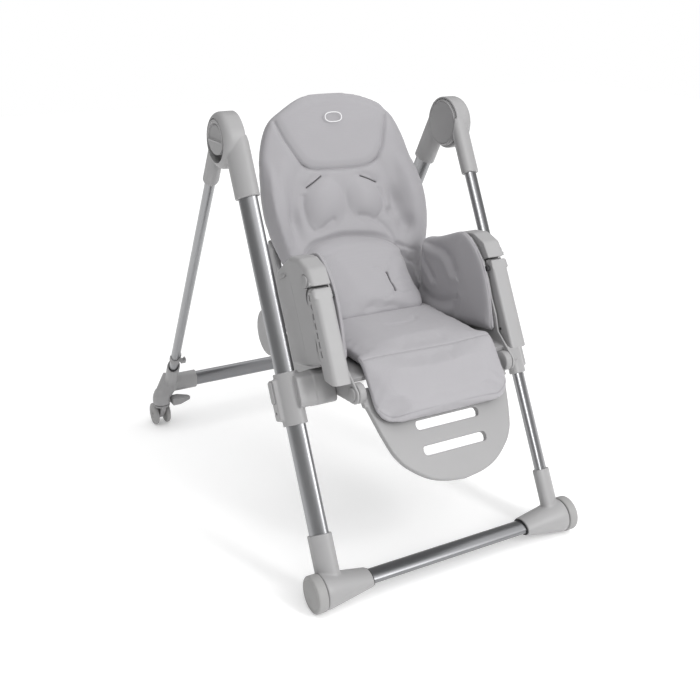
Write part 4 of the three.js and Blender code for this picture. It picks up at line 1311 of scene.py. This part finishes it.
def back_relief(points, normals):
    x, y, w = points.T
    front = ramp(-normals[:, 1], 0.15, 0.6)
    near_head = away(x, w, HEAD_SEAM)
    inside = w > np.interp(x, *zip(*HEAD_SEAM))
    below = np.where(inside, 0, 1)
    height = -2.6 * hump(near_head, 3.2) - 1.2 * hump(near_head, 10)
    under_head = 1.6 * ramp(near_head, 0, 10) * hump(near_head, 40)
    height += np.where(inside, 2.2 * ramp(near_head, 0, 18), under_head)
    # Painted shade along the head seam's groove.
    painted_shade = 0.16 * hump(near_head, 1.3)
    height -= grooves(x, w, UPPER_SLITS, (3.5, 1.5), (4.0, 12))
    for cx, cw, rx, rw in LOBES:
        r = np.hypot((x - cx) / rx, (w - cw) / rw)
        height += below * 9.5 * np.clip(1 - r**2, 0, 1) ** 1.3
    height -= grooves(x, w, LOBE_FOLDS, (2.2, 5.5), (2.2, 13))
    height -= below * ramp(w, 10, 50) * grooves(x, w, SIDE_VALLEYS, (2.4, 11), (2.0, 24))
    height -= below * 2.0 * hump(x + 1, 8) * ramp(w, 60, 90) * (1 - ramp(w, 130, 165))
    for cx, cw, rx, rw in SOFT_DENTS:
        height -= 7.5 * np.exp(-(((x - cx) / rx) ** 2) - ((w - cw) / rw) ** 2)
    arch = away(x, w, LUMBAR_ARCH)
    arch_line = np.interp(x, *zip(*[p for p in LUMBAR_ARCH if p[1] > 12]))
    in_lumbar = (np.abs(x) < 112) & (w < arch_line)
    height -= 4.0 * hump(arch, 5.5) + 2.0 * hump(arch, 15)
    height += np.where(in_lumbar, 6.0 * ramp(arch, 0, 26), 2.6 * ramp(arch, 0, 12) * hump(arch, 26))
    # Painted shade in the lumbar arch's crease.
    painted_shade = np.maximum(painted_shade, 0.22 * hump(arch, 1.6))
    height -= grooves(x, w, [LOWER_SLIT], (3.8, 1.5), (3.2, 13))
    height -= grooves(x, w, SLIT_RAYS, (1.3, 3.2)) + grooves(x, w, CORNER_FOLDS, (2.8, 4.5))
    # Painted shade inside the slits.
    for slit in SLITS:
        painted_shade = np.maximum(painted_shade, hump(away(x, w, slit), 1.1))
    height *= ramp(away(x, w, PAD_SIDES), 0, 12)
    height += 0.4 * ripples(points, 34, 1)
    return height * front, painted_shade * front


def near_lines(paths, reach):
    """A test of which points of the back pad's front are near lines."""

    def near(points):
        x, y, w = points.T
        close = np.minimum.reduce([away(x, w, path) for path in paths])
        return (close < reach) & (y < 16)

    return near


def back_pad():
    outline = []
    for snug, hood in zip(offset(BACK_OUTLINE, RIM + 1.8), offset(BACK_OUTLINE, -1.5)):
        over = ramp(np.float64(snug[1]), *HOOD) * ramp(np.float64(snug[0]), -110, -40)
        outline.append(tuple(Vector(snug).lerp(Vector(hood), float(over))))
    pad = raw("back_cushion", [
        soft_prism(outline, -0.5, 27, 7, 3, "Y", 8),
        loft([swell_ring(x) for x in np.linspace(-121, 121, 43)]),
        bolster(1, 1),
        bolster(-1, 0),
    ], BACK)
    remesh(pad, 4)
    relax(pad, 14)

    def held(points):
        x, y, w = points.T
        tucked = (1 - ramp(away(x, w, PAD_SIDES), 4, 14)) * (1 - ramp(x, -100, -20))
        return np.maximum.reduce([ramp(y, 6, 12), ramp(w, 296, 310), tucked])

    inflate(pad, BACK, 6, held, 12)
    subdivide(pad)
    refine(pad, BACK, near_lines([HEAD_SEAM, LUMBAR_ARCH, *SLITS, *LOBE_FOLDS], 6))
    refine(pad, BACK, near_lines(SLITS, 4))
    sculpt(pad, BACK, back_relief)
    return dress_pad(pad, "back", "back_pad")


def badge(pad):
    """A plain oval ring printed on the head of the pad."""
    steps = 96
    verts = []
    for inward, out in ((0, 0), (0.2, 0.5), (1.0, 0.7), (1.6, 0.5), (1.8, 0)):
        for x, w in superoval(19 - inward, 10.5 - inward, 0.8, 0.8, steps):
            verts.append((x, -14 - out, 277 + w))
    ring = raw("badge_ring", [(verts, tube_faces(verts, steps, closed=True))], BACK)
    cast = ring.modifiers.new("lay", "SHRINKWRAP")
    cast.target = pad
    cast.wrap_mode = "OUTSIDE"
    cast.offset = 0.35 * MM
    settle(ring)
    return dress(shade(ring), "back", BADGE)


badge(back_pad())

# ---- Seat cover, in the chair's frame: one padded cover over the seat that folds down over the legrest ----

COVER_TOP = smooth_path([(-88, 405), (-130, 406), (-190, 405.5), (-250, 406), (-290, 406.5), (-305, 404.5),
                         (-316, 399), (-326, 389), (-342, 368), (-360, 344), (-376, 323), (-388, 307)], 5)
SEAM_AT = 223
COVER_HALF, COVER_LENGTH = 139, 333


def cover_section(at, along, half, thick):
    """A rounded strip across the chair, hung from a point of its top line."""
    inward = Vector((-along.y, along.x))
    ring = []
    for x, rise in superoval(half, thick / 2, 0.35, 0.55, 48):
        p = Vector(at) + inward * (thick / 2 - rise)
        ring.append((x, p.x, p.y))
    return ring


def seat_cover():
    path = [Vector(p) for p in COVER_TOP]
    lengths = [0.0]
    for a, b in zip(path, path[1:]):
        lengths.append(lengths[-1] + (b - a).length)
    total = lengths[-1]
    rings = []
    for i, p in enumerate(path):
        along = (path[min(i + 1, len(path) - 1)] - path[max(i - 1, 0)]).normalized()
        left = total - lengths[i]
        corner = 44
        tuck = corner - math.sqrt(max(0, corner**2 - max(0, corner - left) ** 2))
        front = float(ramp(np.float64(lengths[i]), 196, 214))
        thick = (31 - 13 * front) * (0.4 + 0.6 * float(ramp(np.float64(left), -4, 14)))
        half = 130.5 + 9.5 * front - tuck
        rings.append(cover_section(p, along, half, thick))
    pad = raw("seat_cover", [loft(rings)], CHAIR)
    remesh(pad, 4)
    relax(pad, 4)

    def held(points):
        x, y, z = points.T
        under = ramp(399 - z, 0, 6) * ramp(y, -312, -300)
        slope = np.abs((y + 331) * 0.8039 - (z - 351) * 0.5948)
        behind = (1 - ramp(slope, 3, 9)) * (1 - ramp(y, -345, -325))
        return np.maximum(under, behind)

    inflate(pad, CHAIR, 5, held)
    subdivide(pad)
    refine(pad, CHAIR, near_cover_seams)
    sculpt(pad, CHAIR, cover_relief)
    coat(pad, COVER)
    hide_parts("seat_pad", "legrest_pad")
    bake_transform(pad)


DIMPLE = smooth_path([(-22, -208), (-4, -216), (14, -217), (34, -209), (44, -196)])


def outer_side(points):
    """How far along the cover each point is, in mm from the rear: y on the seat, then down the flap."""
    x, y, z = points.T
    return np.where(y > -300, -88 - y, 212 + np.hypot(np.minimum(0, y + 300), np.minimum(0, z - 405)))


def near_cover_seams(points):
    x, y, z = points.T
    far = outer_side(points)
    sides = (np.abs(x) > 122) & (far > 200)
    return (np.abs(far - SEAM_AT) < 6) | (far > 320) | sides | (away(x, y, DIMPLE) < 6)


def cover_relief(points, normals):
    x, y, z = points.T
    outer = ramp(normals[:, 2], 0.2, 0.5) * (z > 300)
    far = outer_side(points)
    across = np.abs(x) / 140
    height = 3.0 * np.clip(1 - across**2.4, 0, 1) * ramp(far, 5, 60) * (1 - ramp(far, 150, 200))
    height += 1.4 * np.clip(1 - across**4, 0, 1) * ramp(far, 230, 260) * (1 - ramp(far, 300, 330))
    seam = np.abs(far - SEAM_AT - 1.2 * np.sin(x / 40))
    height -= 1.6 * hump(seam, 2.0) * (np.abs(x) < 134) + 0.5 * hump(seam, 8)
    # Painted shade along the seam's groove.
    painted_shade = 0.16 * hump(seam, 1.1)
    height -= outer * 1.6 * hump(away(x, y, DIMPLE), 5) * (z > 395)
    corner = 40
    past_x, past_end = np.abs(x) - COVER_HALF + corner, far - COVER_LENGTH + corner
    round_off = corner - np.hypot(np.maximum(0, past_x), np.maximum(0, past_end))
    edge = np.where((past_x > 0) & (past_end > 0), round_off, corner - np.maximum(past_x, past_end))
    binding = hump(edge - 1.5, 1.2) * ramp(far, 205, 222)
    height -= 0.5 * binding
    # Painted shade in the binding's groove at the cover's edge.
    painted_shade = np.maximum(painted_shade, 0.25 * binding)
    height += 0.45 * ripples(points, 38, 3) + 0.16 * ripples(points, 12, 4)
    side = ramp(np.abs(x), 96, 128) * (1 - ramp(far, 180, 215)) * ramp(far, 20, 50)
    height += side * 1.4 * ripples(points * [0.5, 1, 1], 13, 5)
    return height * outer, painted_shade * outer


seat_cover()

# ---- Wing pads, in the front leg's frame: y back, z up the leg, -x into the seat ----

WING = [(120, 446), (80, 425), (40, 408), (0, 394), (-40, 381), (-71, 372), (-80, 402), (-87, 432),
        (-91, 465), (-90, 500), (-82, 528), (-72, 549), (-58, 566), (-40, 572), (-8, 575), (25, 579),
        (54, 586), (66, 582), (84, 552), (104, 515), (122, 484)]
WING_X = (127, 160.8)
WING_TAPER = 22
WING_FOLDS = [
    (smooth_path([(50, 580), (26, 562), (2, 548), (-14, 526), (-20, 500)]), 9, 4.0),
    (smooth_path([(64, 575), (62, 545), (52, 520), (44, 500)]), 7, 2.6),
    (smooth_path([(98, 500), (74, 470), (40, 452), (12, 448)]), 10, 2.6),
    (smooth_path([(24, 412), (6, 428), (-6, 446)]), 8, 2.2),
]


def wing_relief(points, normals):
    x, y, z = points.T
    inner = ramp(-normals[:, 0], 0.1, 0.5)
    edge = away(y, z, WING + WING[:1])
    height = np.zeros(len(x))
    for path, width, depth in WING_FOLDS:
        d, side = to_path(y, z, path)
        height -= depth * hump(d, width) - 0.5 * depth * hump(d - 1.7 * width, width) * (side > 0)
    height *= ramp(edge, 2, 14)
    seam = hump(edge - 1.5, 1.2)
    height -= 0.8 * seam
    # Painted shade in the seam's groove round the edge.
    painted_shade = 0.2 * seam
    height += 1.0 * ripples(points, 34, 7)
    return height * inner, painted_shade * inner


def wing_pad():
    low, high = WING_X
    outline = offset(smooth_path(WING, 4, closed=True), 1.5)
    pad = raw("wing_cushion", [soft_prism(outline, low, high, 22, 2, steps=12)], FRONT)
    remesh(pad, 3)
    points = points_of(pad.data, FRONT)
    thinner = WING_TAPER * (1 - ramp(points[:, 1], -95, 75))
    points[:, 0] += thinner * (high - points[:, 0]) / (high - low)
    put_back(pad, FRONT, points)
    relax(pad, 12)

    def held(points):
        x, y, z = points.T
        chair_z = (FRONT.to_3x3() @ Vector((0, 0, 1))).z * z / MM - math.sin(FRONT_TILT) * y + WHEEL_RADIUS
        low_down = 1 - ramp(chair_z, 408, 424)
        return np.maximum(ramp(x, 148, 154), low_down)

    inflate(pad, FRONT, 6, held, 8)
    subdivide(pad)
    sculpt(pad, FRONT, wing_relief)
    return pad


wing = wing_pad()
twin = mirror(wing, "wing_cushion_left")
wing.name = "wing_cushion_right"
dress_pad(wing, "seat", "wing_pad_right")
dress_pad(twin, "seat", "wing_pad_left")
